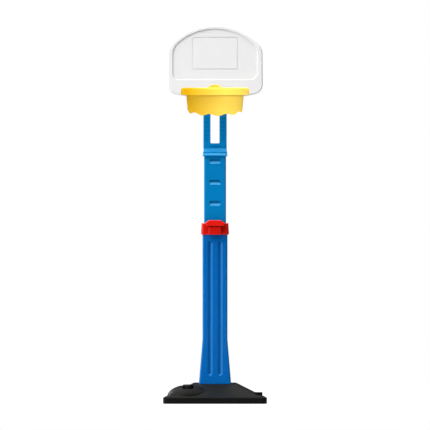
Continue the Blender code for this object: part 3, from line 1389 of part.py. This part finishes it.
def make_knob():
    def lobed(shrink, y):
        outline = fluted_outline(KNOB_RADIUS - shrink, KNOB_LOBE_DEPTH, KNOB_LOBES, steps=8)
        return upright(shifted(outline, 0.0, CLAMP_Z), y)

    knob = loft("clamp_knob", [
        lobed(KNOB_EDGE, KNOB_FRONT), lobed(0.0, KNOB_FRONT + KNOB_EDGE),
        lobed(0.0, KNOB_REAR - KNOB_EDGE), lobed(KNOB_EDGE, KNOB_REAR),
    ], BLACK_FITTING)
    insert_front = KNOB_FRONT + INSERT_SETBACK
    insert_rear = insert_front + INSERT_LENGTH
    cut(knob, rods("knob_seat", [
        ((0.0, KNOB_FRONT - CUT_MARGIN, CLAMP_Z), (0.0, insert_rear + CLEARANCE, CLAMP_Z),
         INSERT_RADIUS + CLEARANCE),
    ], segments=6))
    cut(knob, rods("knob_bore", [
        ((0.0, KNOB_FRONT - CUT_MARGIN, CLAMP_Z), (0.0, KNOB_REAR - KNOB_CAP, CLAMP_Z),
         CLAMP_BOLT_RADIUS + SCREW_FIT),
    ]))
    insert = rods("knob_insert", [
        ((0.0, insert_front, CLAMP_Z), (0.0, insert_rear, CLAMP_Z), INSERT_RADIUS),
    ], BRASS, segments=6)
    cut(insert, rods("insert_bore", [
        ((0.0, KNOB_FRONT - CUT_MARGIN, CLAMP_Z), (0.0, KNOB_REAR, CLAMP_Z), CLAMP_BOLT_RADIUS + SCREW_FIT),
    ]))
    return [knob, insert]


def rim_profile():
    """The ring's section: a channel open downwards, with a rounded top outer edge and an inner wall."""
    outer = RIM_RADIUS - RIM_DRAFT
    angles = [pi / 2 * (1 - step / RIM_EDGE_STEPS) for step in range(RIM_EDGE_STEPS + 1)]

    def edge(radius):
        return [
            (outer - RIM_EDGE + radius * cos(angle), RIM_TOP - RIM_EDGE + radius * sin(angle))
            for angle in angles
        ]

    points = [(RIM_OPENING + RIM_INNER_EDGE, RIM_TOP)] + edge(RIM_EDGE)
    points += [(RIM_RADIUS, RIM_BOTTOM), (RIM_RADIUS - RIM_WALL, RIM_BOTTOM)]
    points += edge(RIM_EDGE - RIM_WALL)[::-1]
    points += [
        (RIM_OPENING + RIM_WALL, RIM_TOP - RIM_WALL),
        (RIM_OPENING + RIM_WALL, SKIRT_TOP + CLEARANCE),
        (RIM_OPENING, SKIRT_TOP + CLEARANCE),
        (RIM_OPENING, RIM_TOP - RIM_INNER_EDGE),
    ]
    return points


def radial_boxes(name, count, inner, outer, thickness, low, high):
    """Separate blocks set like spokes between two radii, about the rim's axis."""
    shape = bmesh.new()
    axis = Matrix.Translation((0.0, RIM_Y, 0.0))
    middle = Matrix.Translation(((inner + outer) / 2, 0.0, (low + high) / 2))
    size = Matrix.Diagonal((outer - inner, thickness, high - low, 1.0))
    for index in range(count):
        turn = Matrix.Rotation(2 * pi * (index + 0.5) / count, 4, "Z")
        bmesh.ops.create_cube(shape, size=1.0, matrix=axis @ turn @ middle @ size)
    return finish_mesh(name, shape, None)


def bracket_outline(inset):
    """An arched plate: a round top, straight sides and rounded lower corners."""
    radius = BRACKET_RADIUS - inset
    centre = RIM_BOTTOM + BRACKET_ARCH_RISE
    corner = BRACKET_CORNER - inset
    low = BRACKET_BOTTOM + inset
    points = arc((0.0, centre), radius, 0.0, pi, 20) + [(-radius, centre)]
    points += arc((corner - radius, low + corner), corner, pi, 1.5 * pi, 4) + [(corner - radius, low)]
    points += arc((radius - corner, low + corner), corner, 1.5 * pi, 2 * pi, 4) + [(radius, low + corner)]
    return points


def make_hoop_rim():
    rim = turned("hoop_rim", rim_profile(), RIM_STEPS, (0.0, RIM_Y, 0.0), YELLOW, closed=True)
    join(rim, radial_boxes(
        "rim_ribs", RIM_RIBS, RIM_OPENING + RIM_WALL / 2, RIM_RADIUS - RIM_DRAFT - RIM_WALL / 2, RIM_RIB,
        SKIRT_TOP + 3 * CLEARANCE, RIM_TOP - (RIM_EDGE + RIM_WALL / 2) / 2,
    ))
    join(rim, radial_boxes(
        "rim_snaps", SNAP_COUNT, RIM_RADIUS - RIM_WALL - SNAP_DEPTH, RIM_RADIUS - RIM_WALL / 2, SNAP_WIDTH,
        RIM_BOTTOM + CLEARANCE, RIM_BOTTOM + SNAP_HEIGHT,
    ))
    front = BRACKET_REAR - BRACKET_THICKNESS
    join(rim, loft("rim_bracket", [
        upright(bracket_outline(0.0), BRACKET_REAR), upright(bracket_outline(0.0), front + BRACKET_EDGE),
        upright(bracket_outline(BRACKET_EDGE), front),
    ]))
    half = BRACKET_BLOCK_WIDTH / 2
    block = boxes("rim_bracket_block", [(
        (-half, RIM_Y + RIM_RADIUS / 2, RIM_BOTTOM + CLEARANCE),
        (half, BRACKET_REAR - CLEARANCE, RIM_TOP - RIM_EDGE),
    )])
    cut(block, rods("rim_block_trim", [
        ((0.0, RIM_Y, RIM_BOTTOM - CUT_MARGIN), (0.0, RIM_Y, RIM_TOP),
         RIM_RADIUS - RIM_DRAFT - RIM_WALL / 2),
    ], segments=RIM_STEPS))
    join(rim, block)
    gusset = [
        (BRACKET_REAR - BRACKET_THICKNESS / 2, RIM_TOP - RIM_EDGE - CUT_MARGIN),
        (BRACKET_REAR - BRACKET_THICKNESS / 2, RIM_TOP + GUSSET_RISE),
        (front - CUT_MARGIN, RIM_TOP + GUSSET_RISE),
        (front - GUSSET_REACH, RIM_TOP - CLEARANCE),
        (front - GUSSET_REACH, RIM_TOP - RIM_EDGE - CUT_MARGIN),
    ]
    for side in (-1, 1):
        middle = facing_side(side * GUSSET_SPACING / 2)
        join(rim, plate(f"rim_gusset_{side}", [gusset], GUSSET_THICKNESS, middle))
    cut(rim, hoop_screw_holes("rim_screw_holes"))
    return rim


def skirt_drop(from_front):
    """How far the skirt's foot hangs below its mean edge: more at the front, and in each lobe."""
    lobe = cos((from_front - radians(LOBE_TURN)) * LOBE_COUNT)
    return SKIRT_FRONT_DROP * cos(from_front) - LOBE_HEIGHT * (1 - lobe) / 2


def make_hoop_skirt():
    """A tapered sleeve with a flange, spun and then drawn down at its foot into lobes."""
    profile = [(SKIRT_TOP_RADIUS - SKIRT_WALL, SKIRT_TOP)]
    profile += [(RIM_RADIUS - RIM_WALL - SKIRT_FIT, z) for z in (SKIRT_TOP, SKIRT_FLANGE_LOW)]
    shares = [row / SKIRT_ROWS for row in range(SKIRT_ROWS + 1)]
    sleeve = [
        (SKIRT_TOP_RADIUS + share * (SKIRT_BOTTOM_RADIUS - SKIRT_TOP_RADIUS),
         SKIRT_FLANGE_LOW + share * (SKIRT_LOW - SKIRT_FLANGE_LOW))
        for share in shares
    ]
    profile += sleeve
    profile += [(radius - SKIRT_WALL, z) for radius, z in reversed(sleeve[1:])]
    shape = bmesh.new()
    points = [shape.verts.new((radius, 0.0, z)) for radius, z in profile]
    edges = [shape.edges.new(pair) for pair in zip(points, points[1:] + points[:1])]
    bmesh.ops.spin(
        shape, geom=points + edges, cent=(0.0, 0.0, 0.0), axis=(0.0, 0.0, 1.0), angle=2 * pi,
        steps=LOBE_COUNT * LOBE_STEPS, use_merge=True,
    )
    for vert in shape.verts:
        share = (SKIRT_FLANGE_LOW - vert.co.z) / (SKIRT_FLANGE_LOW - SKIRT_LOW)
        vert.co.z -= max(0.0, share) * skirt_drop(atan2(vert.co.x, -vert.co.y))
    shape.transform(Matrix.Translation((0.0, RIM_Y, 0.0)))
    return finish_mesh("hoop_skirt", shape, YELLOW)


def make_hoop_screws():
    head_face = BOARD_FRONT + BOARD_WALL + CLEARANCE + HOOP_SCREW_HEAD_HEIGHT
    length = head_face - BRACKET_REAR + HOOP_SCREW_BITE
    return [
        screw(
            f"hoop_screw_{number}", (x, head_face, z), "back", length,
            HOOP_SCREW_RADIUS, HOOP_SCREW_HEAD, HOOP_SCREW_HEAD_HEIGHT,
        )
        for number, (x, z) in enumerate(hoop_screw_places(), 1)
    ]


def build():
    make_base_tank()
    make_base_screws()
    make_lower_post()
    make_collar()
    make_latch_spring()
    carried("filler_axis", (FILLER_X, FILLER_Y, POCKET_FLOOR), make_filler_cap())
    carried("latch_axis", (0.0, LATCH_PIVOT_Y, LATCH_PIVOT_Z), [make_latch()])
    upper = [make_inner_post(), make_glide_shoe(), make_neck(), *make_neck_screws()]
    carried("inner_post_axis", (0.0, 0.0, COLLAR_TOP), upper)
    board = [make_backboard(), *make_slot_guide(), *make_clamp()]
    board += [make_hoop_rim(), make_hoop_skirt(), *make_hoop_screws()]
    carried("board_axis", (0.0, RAIL_FRONT, CLAMP_Z), board)
    carried("knob_axis", (0.0, KNOB_FRONT, CLAMP_Z), make_knob())


clear_scene()
STAND = collection("basketball_stand")
CUTTERS = collection("cutters", helpers=True)
BLACK = material("black_tank", (0.012, 0.013, 0.013), 0.42)
BLACK_FITTING = material("black_fittings", (0.016, 0.016, 0.017), 0.38)
RUBBER = material("seal_rubber", (0.02, 0.02, 0.02), 0.8)
BLUE = material("blue_post", (0.0, 0.125, 0.43), 0.35)
LIGHT_BLUE = material("light_blue_post", (0.0, 0.19, 0.47), 0.35)
RED = material("red_collar", (0.50, 0.012, 0.004), 0.32)
BRIGHT_RED = material("bright_red_latch", (0.68, 0.02, 0.006), 0.32)
WHITE = material("white_board", (0.84, 0.84, 0.85), 0.4)
YELLOW = material("yellow_hoop", (0.95, 0.60, 0.035), 0.38)
STEEL = material("zinc_steel", (0.55, 0.55, 0.56), 0.35, 1.0)
BRASS = material("brass_insert", (0.70, 0.52, 0.25), 0.35, 1.0)
build()
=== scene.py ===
import json
from math import cos, pi, radians, sin

import bmesh
import bpy
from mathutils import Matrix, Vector


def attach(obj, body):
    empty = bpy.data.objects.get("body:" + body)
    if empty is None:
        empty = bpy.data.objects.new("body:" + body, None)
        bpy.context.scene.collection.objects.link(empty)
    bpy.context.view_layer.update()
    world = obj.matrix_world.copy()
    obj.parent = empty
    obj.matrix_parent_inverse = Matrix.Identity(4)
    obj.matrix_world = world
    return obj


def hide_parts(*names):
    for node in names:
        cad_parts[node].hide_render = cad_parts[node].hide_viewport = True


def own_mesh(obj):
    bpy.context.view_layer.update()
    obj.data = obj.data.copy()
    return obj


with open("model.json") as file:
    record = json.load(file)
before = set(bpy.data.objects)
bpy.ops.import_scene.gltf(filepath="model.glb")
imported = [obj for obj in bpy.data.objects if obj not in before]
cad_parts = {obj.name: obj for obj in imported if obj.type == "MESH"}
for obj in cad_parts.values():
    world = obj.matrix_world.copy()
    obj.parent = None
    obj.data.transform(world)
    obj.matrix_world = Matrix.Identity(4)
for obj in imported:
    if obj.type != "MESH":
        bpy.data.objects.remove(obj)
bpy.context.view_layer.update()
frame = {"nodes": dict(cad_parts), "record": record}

SCENE = bpy.context.scene
RECORD = frame["record"]
SLOT_OF = {entry["node"]: entry["material_slot"] for entry in RECORD["subparts"]}
BODY_OF = {node: body for body, nodes in RECORD["behaviour"]["bodies"].items() for node in nodes}

# Camera: far away and nearly level, as in the photograph
CAMERA_PLACE = (0.0, -28.6, 1.303)
CAMERA_AIM = (0.0, 0.0, 0.7828)
CAMERA_LENS = 570.9
CAMERA_SENSOR = 36.0
CAMERA_REACH = 200.0

WHITE = (1.0, 1.0, 1.0, 1.0)

# Light on the stand: how bright each side of the studio is
SKY_BASE = 0.42
SKY_RIGHT = 0.15
SKY_LEFT = 0.45
SKY_STRIP = 1.25
SKY_TOP = 4.40
SKY_TOP_AT = Vector((-0.15, -0.05, 0.98))
SKY_BACK = 0.13
SKY_BACK_TOP = 0.75
SKY_FRONT = 0.05

# Where each of these begins and ends: in a direction's X for the left, the right and the strip, in its Y for
# the front and the back, in its Z for the back's top, and in its nearness to SKY_TOP_AT for the top
LEFT_SPAN = (-0.25, -0.80)
RIGHT_SPAN = (0.30, 0.80)
STRIP_SPAN = (-0.82, -0.94)
FRONT_SPAN = (-0.95, -0.60)
BACK_SPAN = (0.20, 0.80)
BACK_TOP_SPAN = (0.30, 0.70)
TOP_SPAN = (0.62, 0.90)

# Lamps: the hoop has a key and a small one for its gloss, which light nothing else
KEY_PLACE = (-5.6, -4.4, 5.6)
KEY_SIZE = (5.0, 5.0)
KEY_POWER = 400.0
HOOP_KEY_PLACE = (2.0, -3.3, 2.0)
HOOP_KEY_SIZE = (1.4, 1.4)
HOOP_KEY_POWER = 72.0
SHINE_PLACE = (0.35, -4.5, 1.9)
SHINE_SIZE = (0.35, 0.35)
SHINE_POWER = 14.0
HOOP_AIM = (0.0, -0.2, 1.27)
REAR_PLACE = (-5.2, 5.6, 3.2)
REAR_SIZE = (3.0, 3.0)
REAR_POWER = 330.0
LAMP_AIM = (0.0, 0.0, 0.8)

# Floor: how large and how white it is, and where it fades into the white behind it
FLOOR_RADIUS = 4.0
FLOOR_SEGMENTS = 96
FLOOR_DROP = 0.0004
FLOOR_WHITE = 0.62
FLOOR_BOUNCE = 0.34
FLOOR_FADE_SPAN = (0.6, 2.4)
FLOOR_GLOW = 0.80

# Patterns in the surfaces: how many swells each has to a metre, how many finer layers, and its stretch
CLOUDS = (7.0, 3.0)
SCUFFS = (160.0, 5.0, (1.0, 1.0, 0.25))
GLOSS = (26.0, 4.0)
SWELLS = (18.0, 1.0)
GRAIN = (1300.0, 2.0)
STREAKS = (420.0, 3.0, (1.0, 1.0, 0.15))
NOISE_ROUGHNESS = 0.55

# What the patterns do: the part of each that is used, and how far it changes gloss, tone or height
NOISE_MIDDLE = (0.35, 0.65)
SCUFF_SPAN = (0.58, 0.72)
SCUFF_ROUGHNESS = 0.10
GLOSS_SPREAD = 0.03
SWELL_HEIGHT = 0.0010
SWELL_STRENGTH = 0.3
GRAIN_HEIGHT = 0.00002
GRAIN_STRENGTH = 0.5
STREAK_SPAN = (0.3, 0.7)
STREAK_SHADES = (0.86, 1.08)
STREAK_ROUGHNESS = (-0.07, 0.10)
STREAK_HEIGHT = 0.00003
STREAK_STRENGTH = 0.5

# Light inside the hoop's plastic: how far each colour of it goes, and the depth that this counts in
GLOW_REACH = (1.0, 0.6, 0.08)
GLOW_DEPTH = 0.004

# Hoop: its ring's radius, and where across it the colour turns from painted shade on its left to painted
# light on its right
RIM_RADIUS = 0.143
RIM_SHADE_TO_LIGHT_SPAN = (-0.8 * RIM_RADIUS, 0.3 * RIM_RADIUS)

# Rounding of the pieces' edges: its width on each piece and on a screw, its steps, and the angle it starts at
SOFT_WIDTH = {
    "base_tank": 0.0035, "lower_post": 0.0016, "collar": 0.0018, "latch_lever": 0.0010,
    "inner_post": 0.0008, "neck": 0.0007, "backboard": 0.0004, "hoop_rim": 0.0008, "hoop_skirt": 0.0008,
    "clamp_knob": 0.0012, "filler_cap": 0.0006, "filler_seal": 0.0004, "glide_shoe": 0.0006,
    "slot_guide": 0.0008, "clamp_plate": 0.0010, "clamp_washer": 0.0003, "clamp_bolt": 0.0004,
    "knob_insert": 0.0004, "latch_pin": 0.0004,
}
SCREW_SOFT_WIDTH = 0.0003
SOFT_STEPS = 3
SOFT_ANGLE = radians(28)

# What counts as flat, as one point and as one depth
FLAT_ANGLE = radians(1)
SAME_POINT = 1e-6
SAME_DEPTH = 1e-4

# Lines cut a little deeper than in the solids: where their floors lie, and how much further they go
SERRATION_FLOOR = -0.0184
TARGET_FLOOR = -0.0447
DEEPER = {"neck": (SERRATION_FLOOR, 0.0012), "backboard": (TARGET_FLOOR, 0.0005)}

# Board's front edge: its round in the solid, the steps of that round, and how many times larger it is shown
BOARD_EDGE = 0.0040
BOARD_EDGE_STEPS = 3
BOARD_EDGE_GROWTH = 1.75


def aim(thing, place, target):
    thing.location = place
    thing.rotation_mode = "QUATERNION"
    thing.rotation_quaternion = (Vector(target) - Vector(place)).to_track_quat("-Z", "Y")


def make_camera():
    data = bpy.data.cameras.new("camera")
    data.lens = CAMERA_LENS
    data.sensor_width = CAMERA_SENSOR
    data.clip_end = CAMERA_REACH
    camera = bpy.data.objects.new("camera", data)
    SCENE.collection.objects.link(camera)
    aim(camera, CAMERA_PLACE, CAMERA_AIM)
    SCENE.camera = camera


class Nodes:
    """Short ways to add shader nodes to one node tree."""

    def __init__(self, tree):
        self.tree = tree

    def add(self, kind, inputs=None, **settings):
        node = self.tree.nodes.new(kind)
        for name, value in settings.items():
            setattr(node, name, value)
        for name, value in (inputs or {}).items():
            self.feed(node.inputs[name], value)
        return node

    def feed(self, socket, value):
        if isinstance(value, bpy.types.NodeSocket):
            self.tree.links.new(value, socket)
        else:
            socket.default_value = value

    def math(self, operation, *values):
        node = self.add("ShaderNodeMath", operation=operation)
        for socket, value in zip(node.inputs, values):
            self.feed(socket, value)
        return node.outputs[0]

    def remap(self, value, from_low, from_high, to_low, to_high, smooth=False):
        node = self.add("ShaderNodeMapRange", {
            "Value": value, "From Min": from_low, "From Max": from_high, "To Min": to_low, "To Max": to_high,
        })
        node.interpolation_type = "SMOOTHSTEP" if smooth else "LINEAR"
        return node.outputs["Result"]

    def mix(self, factor, first, second):
        """Mix two colours. The colours' sockets share their names with others, so they go by number."""
        node = self.add("ShaderNodeMix", data_type="RGBA")
        self.feed(node.inputs[0], factor)
        self.feed(node.inputs[6], first)
        self.feed(node.inputs[7], second)
        return node.outputs[2]

    def noise(self, scale, detail, stretch=(1.0, 1.0, 1.0)):
        """Noise in the part's own metres."""
        place = self.add("ShaderNodeTexCoord").outputs["Object"]
        place = self.add("ShaderNodeMapping", {"Vector": place, "Scale": stretch}).outputs["Vector"]
        return self.add("ShaderNodeTexNoise", {
            "Vector": place, "Scale": scale, "Detail": detail, "Roughness": NOISE_ROUGHNESS,
        }).outputs["Fac"]

    def bump(self, height, distance, strength, normal=None):
        inputs = {"Height": height, "Distance": distance, "Strength": strength}
        if normal is not None:
            inputs["Normal"] = normal
        return self.add("ShaderNodeBump", inputs).outputs["Normal"]


def shade(colour, share):
    """A colour made darker or lighter."""
    return (*(min(1.0, channel * share) for channel in colour), 1.0)


def make_world():
    """White to the eye, bright from the left, and dim in front and behind, where the gloss looks."""
    world = bpy.data.worlds.new("studio")
    SCENE.world = world
    world.use_nodes = True
    kit = Nodes(world.node_tree)
    rays = kit.add("ShaderNodeLightPath").outputs
    towards = kit.add("ShaderNodeTexCoord").outputs["Generated"]
    parts = kit.add("ShaderNodeSeparateXYZ", {"Vector": towards}).outputs
    left = kit.remap(parts["X"], *LEFT_SPAN, 0.0, SKY_LEFT, smooth=True)
    right = kit.remap(parts["X"], *RIGHT_SPAN, SKY_BASE, SKY_BASE * SKY_RIGHT, smooth=True)
    front = kit.remap(parts["Y"], *FRONT_SPAN, 0.0, 1.0, smooth=True)
    behind = kit.remap(parts["Z"], *BACK_TOP_SPAN, SKY_BACK, SKY_BACK_TOP, smooth=True)
    back = kit.remap(parts["Y"], *BACK_SPAN, 1.0, behind, smooth=True)
    sky = kit.math("MULTIPLY", kit.math("MULTIPLY", kit.math("ADD", left, right), front), back)
    strip = kit.remap(parts["X"], *STRIP_SPAN, 0.0, SKY_STRIP, smooth=True)
    overhead = {0: towards, 1: SKY_TOP_AT.normalized()}
    above = kit.add("ShaderNodeVectorMath", overhead, operation="DOT_PRODUCT").outputs["Value"]
    top = kit.remap(above, *TOP_SPAN, 0.0, SKY_TOP, smooth=True)
    sky = kit.math("ADD", kit.math("ADD", sky, SKY_FRONT), kit.math("ADD", strip, top))
    lit = world.node_tree.nodes["Background"]
    lit.inputs["Color"].default_value = WHITE
    kit.feed(lit.inputs["Strength"], sky)
    seen = kit.add("ShaderNodeBackground", {"Color": WHITE, "Strength": 1.0}).outputs[0]
    direct = kit.math("MAXIMUM", rays["Is Camera Ray"], rays["Is Transmission Ray"])
    last = kit.add("ShaderNodeMixShader", {0: direct, 1: lit.outputs[0], 2: seen}).outputs[0]
    kit.feed(world.node_tree.nodes["World Output"].inputs["Surface"], last)


def make_lamp(name, place, target, size, power):
    data = bpy.data.lights.new(name, "AREA")
    data.shape = "RECTANGLE"
    data.size, data.size_y = size
    data.energy = power
    lamp = bpy.data.objects.new(name, data)
    SCENE.collection.objects.link(lamp)
    aim(lamp, place, target)
    return lamp


def share_lamps(pieces, left_out_of, lit_by):
    """Light some pieces by lamps of their own in place of others."""
    for lamp in left_out_of + lit_by:
        group = bpy.data.collections.new(lamp.name + "_pieces")
        for piece in pieces:
            group.objects.link(piece)
        for entry in group.collection_objects:
            entry.light_linking.link_state = "EXCLUDE" if lamp in left_out_of else "INCLUDE"
        lamp.light_linking.receiver_collection = group


def make_floor():
    """A pale round floor that fades into the white behind it and keeps a soft shadow of the stand."""
    shape = bmesh.new()
    bmesh.ops.create_circle(shape, cap_ends=True, segments=FLOOR_SEGMENTS, radius=FLOOR_RADIUS)
    mesh = bpy.data.meshes.new("floor")
    shape.to_mesh(mesh)
    shape.free()
    floor = bpy.data.objects.new("floor", mesh)
    SCENE.collection.objects.link(floor)
    floor.location.z = -FLOOR_DROP
    surface = bpy.data.materials.new("floor")
    surface.use_nodes = True
    kit = Nodes(surface.node_tree)
    rays = kit.add("ShaderNodeLightPath").outputs
    place = kit.add("ShaderNodeTexCoord").outputs["Object"]
    away = kit.add("ShaderNodeVectorMath", {0: place}, operation="LENGTH").outputs["Value"]
    fade = kit.remap(away, *FLOOR_FADE_SPAN, FLOOR_GLOW, 1.0, smooth=True)
    pale = shade(WHITE[:3], FLOOR_WHITE)
    dim = shade(WHITE[:3], FLOOR_BOUNCE)
    through = kit.math("MAXIMUM", rays["Is Camera Ray"], rays["Is Transmission Ray"])
    matt = kit.add("ShaderNodeBsdfDiffuse", {"Color": kit.mix(through, dim, pale)}).outputs[0]
    glow = kit.add("ShaderNodeEmission", {"Color": WHITE, "Strength": 1.0}).outputs[0]
    share = kit.math("MULTIPLY", fade, through)
    both = kit.add("ShaderNodeMixShader", {0: share, 1: matt, 2: glow}).outputs[0]
    kit.feed(surface.node_tree.nodes["Material Output"].inputs["Surface"], both)
    mesh.materials.append(surface)


def new_surface(name):
    surface = bpy.data.materials.new(name)
    surface.use_nodes = True
    return surface, Nodes(surface.node_tree), surface.node_tree.nodes["Principled BSDF"]


def moulded(name, colour, roughness, tint=(1.0, 1.0, 1.0), mottle=0.02, shine=0.5, glow=0.0, right=None):
    """Moulded plastic: a fine grain, slow swells from the mould, mottled colour and scuffs in its shine.

    Where a colour is given for the right, the colour turns into it across the hoop: the given colour is
    painted shade on the hoop's left, and the right one is painted light on its right.
    """
    surface, kit, shader = new_surface(name)
    clouds = kit.remap(kit.noise(*CLOUDS), *NOISE_MIDDLE, 0.0, 1.0)
    tone = kit.mix(clouds, shade(colour, 1 - mottle), shade(colour, 1 + mottle))
    # Painted shade and light: across the hoop, the darker colour on its left is painted shade and the paler
    # one on its right is painted light.
    if right:
        place = kit.add("ShaderNodeTexCoord").outputs["Object"]
        across = kit.add("ShaderNodeSeparateXYZ", {"Vector": place}).outputs["X"]
        other = kit.mix(clouds, shade(right, 1 - mottle), shade(right, 1 + mottle))
        tone = kit.mix(kit.remap(across, *RIM_SHADE_TO_LIGHT_SPAN, 0.0, 1.0), tone, other)
    kit.feed(shader.inputs["Base Color"], tone)
    scuffs = kit.remap(kit.noise(*SCUFFS), *SCUFF_SPAN, 0.0, SCUFF_ROUGHNESS)
    least, most = roughness - GLOSS_SPREAD, roughness + GLOSS_SPREAD
    even = kit.remap(kit.noise(*GLOSS), *NOISE_MIDDLE, least, most)
    kit.feed(shader.inputs["Roughness"], kit.math("ADD", even, scuffs))
    slow = kit.bump(kit.noise(*SWELLS), SWELL_HEIGHT, SWELL_STRENGTH)
    fine = kit.bump(kit.noise(*GRAIN), GRAIN_HEIGHT, GRAIN_STRENGTH, slow)
    kit.feed(shader.inputs["Normal"], fine)
    shader.inputs["Specular Tint"].default_value = (*tint, 1.0)
    shader.inputs["Specular IOR Level"].default_value = shine
    if glow:
        shader.inputs["Subsurface Weight"].default_value = glow
        shader.inputs["Subsurface Radius"].default_value = GLOW_REACH
        shader.inputs["Subsurface Scale"].default_value = GLOW_DEPTH
    return surface


def plated(name, colour, roughness):
    """Plated or turned metal: streaks along it, and a little grain."""
    surface, kit, shader = new_surface(name)
    streaks = kit.noise(*STREAKS)
    tones = [shade(colour, share) for share in STREAK_SHADES]
    kit.feed(shader.inputs["Base Color"], kit.mix(streaks, *tones))
    least, most = (roughness + change for change in STREAK_ROUGHNESS)
    kit.feed(shader.inputs["Roughness"], kit.remap(streaks, *STREAK_SPAN, least, most))
    kit.feed(shader.inputs["Normal"], kit.bump(streaks, STREAK_HEIGHT, STREAK_STRENGTH))
    shader.inputs["Metallic"].default_value = 1.0
    return surface


def make_surfaces():
    """A surface for every slot. The blue, red and yellow ones have the tinted gloss of the photograph."""
    blue_gloss = (0.40, 0.96, 1.0)
    red_gloss = (1.0, 0.50, 0.42)
    plastics = {
        "black_tank": dict(colour=(0.0060, 0.0061, 0.0057), roughness=0.45, mottle=0.08, shine=0.045),
        "black_fittings": dict(colour=(0.0075, 0.0075, 0.0075), roughness=0.36, mottle=0.06, shine=0.3),
        "seal_rubber": dict(colour=(0.020, 0.020, 0.020), roughness=0.75, mottle=0.08),
        "blue_post": dict(colour=(0.0002, 0.110, 0.400), roughness=0.22, tint=blue_gloss),
        "light_blue_post": dict(colour=(0.0003, 0.188, 0.474), roughness=0.22, tint=blue_gloss),
        "red_collar": dict(colour=(0.540, 0.006, 0.0025), roughness=0.22, tint=red_gloss),
        "bright_red_latch": dict(colour=(0.68, 0.008, 0.003), roughness=0.24, tint=red_gloss),
        "white_board": dict(colour=(0.778, 0.778, 0.779), roughness=0.36, mottle=0.008),
        # The hoop's colour is a painted shaded orange, and its right one is a painted lit yellow that it
        # turns into across the ring.
        "yellow_hoop": dict(
            colour=(0.60, 0.325, 0.0002), right=(1.0, 0.68, 0.10), roughness=0.36, tint=(1.0, 0.75, 0.10),
            shine=0.03, glow=0.1,
        ),
    }
    metals = {
        "zinc_steel": dict(colour=(0.55, 0.55, 0.56), roughness=0.30),
        "brass_insert": dict(colour=(0.70, 0.52, 0.25), roughness=0.32),
    }
    surfaces = {name: moulded(name, **look) for name, look in plastics.items()}
    surfaces.update({name: plated(name, **look) for name, look in metals.items()})
    return surfaces


def dress(piece, surfaces, node):
    """Make a piece ride, stand for its node and carry the node's material."""
    slot = SLOT_OF[node]
    piece.data.materials.clear()
    piece.data.materials.append(surfaces[slot])
    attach(piece, BODY_OF[node])
    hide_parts(node)
    return piece


def soften(piece, width):
    """Round a piece's edges and even out its shading."""
    piece.data.shade_smooth()
    bevel = piece.modifiers.new("rounding", "BEVEL")
    bevel.width = width
    bevel.segments = SOFT_STEPS
    bevel.limit_method = "ANGLE"
    bevel.angle_limit = SOFT_ANGLE
    bevel.use_clamp_overlap = True
    even = piece.modifiers.new("even_shading", "WEIGHTED_NORMAL")
    even.keep_sharp = True


def round_board_edge(shape):
    """Draw the rings of the front edge in and back, so that it turns over a larger round."""
    shape.normal_update()
    front = min(vert.co.y for vert in shape.verts)
    angles = [pi / 2 * step / BOARD_EDGE_STEPS for step in range(BOARD_EDGE_STEPS + 1)]
    depths = [BOARD_EDGE * (1 - cos(angle)) for angle in angles]
    insets = [BOARD_EDGE * (1 - sin(angle)) for angle in angles]

    def lying_at(depth, verts):
        return [vert for vert in verts if abs(vert.co.y - front - depth) < SAME_DEPTH]

    def beside(verts):
        return {edge.other_vert(vert) for vert in verts for edge in vert.link_edges}

    # Only the edge has corners at its second ring's depth, so the other rings are found from there
    second = lying_at(depths[1], shape.verts)
    rings = [lying_at(depths[0], beside(second)), second]
    for depth in depths[2:]:
        rings.append(lying_at(depth, beside(rings[-1])))
    for ring, depth, inset in zip(rings, depths, insets):
        for vert in ring:
            inward = -Vector((vert.normal.x, 0.0, vert.normal.z)).normalized()
            vert.co += (inward * inset + Vector((0.0, depth, 0.0))) * (BOARD_EDGE_GROWTH - 1)


def softened(node, surfaces):
    """A copy of a solid with whole faces in place of its triangles, and rounded edges."""
    shape = bmesh.new()
    shape.from_mesh(frame["nodes"][node].data)
    bmesh.ops.remove_doubles(shape, verts=shape.verts, dist=SAME_POINT)
    if node == "backboard":
        round_board_edge(shape)
    if node in DEEPER:
        floor, further = DEEPER[node]
        for vert in shape.verts:
            if abs(vert.co.y - floor) < SAME_DEPTH:
                vert.co.y += further
    bmesh.ops.dissolve_limit(
        shape, angle_limit=FLAT_ANGLE, verts=shape.verts, edges=shape.edges, delimit={"NORMAL"},
    )
    mesh = bpy.data.meshes.new(node + "_moulding")
    shape.to_mesh(mesh)
    shape.free()
    piece = bpy.data.objects.new(node + "_moulding", mesh)
    SCENE.collection.objects.link(piece)
    soften(piece, SOFT_WIDTH.get(node, SCREW_SOFT_WIDTH))
    return dress(piece, surfaces, node)


def coiled(node, surfaces):
    """A smooth copy of the spring."""
    piece = bpy.data.objects.new(node + "_coil", frame["nodes"][node].data.copy())
    SCENE.collection.objects.link(piece)
    piece.data.shade_smooth()
    return dress(piece, surfaces, node)


def make_pieces(surfaces):
    pieces = {}
    for node in sorted(SLOT_OF):
        make = coiled if node == "latch_spring" else softened
        pieces[node] = make(node, surfaces)
    return pieces


make_camera()
make_world()
KEY = make_lamp("key", KEY_PLACE, LAMP_AIM, KEY_SIZE, KEY_POWER)
REAR = make_lamp("rear", REAR_PLACE, LAMP_AIM, REAR_SIZE, REAR_POWER)
HOOP_KEY = make_lamp("hoop_key", HOOP_KEY_PLACE, HOOP_AIM, HOOP_KEY_SIZE, HOOP_KEY_POWER)
HOOP_SHINE = make_lamp("hoop_shine", SHINE_PLACE, HOOP_AIM, SHINE_SIZE, SHINE_POWER)
make_floor()
PIECES = make_pieces(make_surfaces())
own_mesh(PIECES["latch_spring"])

# The hoop has lamps of its own, and throws none of its yellow on the white board behind it
HOOP = [PIECES["hoop_rim"], PIECES["hoop_skirt"]]
share_lamps(HOOP, left_out_of=[KEY, REAR], lit_by=[HOOP_KEY, HOOP_SHINE])
for PIECE in HOOP:
    PIECE.visible_diffuse = False

SCENE.view_settings.view_transform = "Standard"
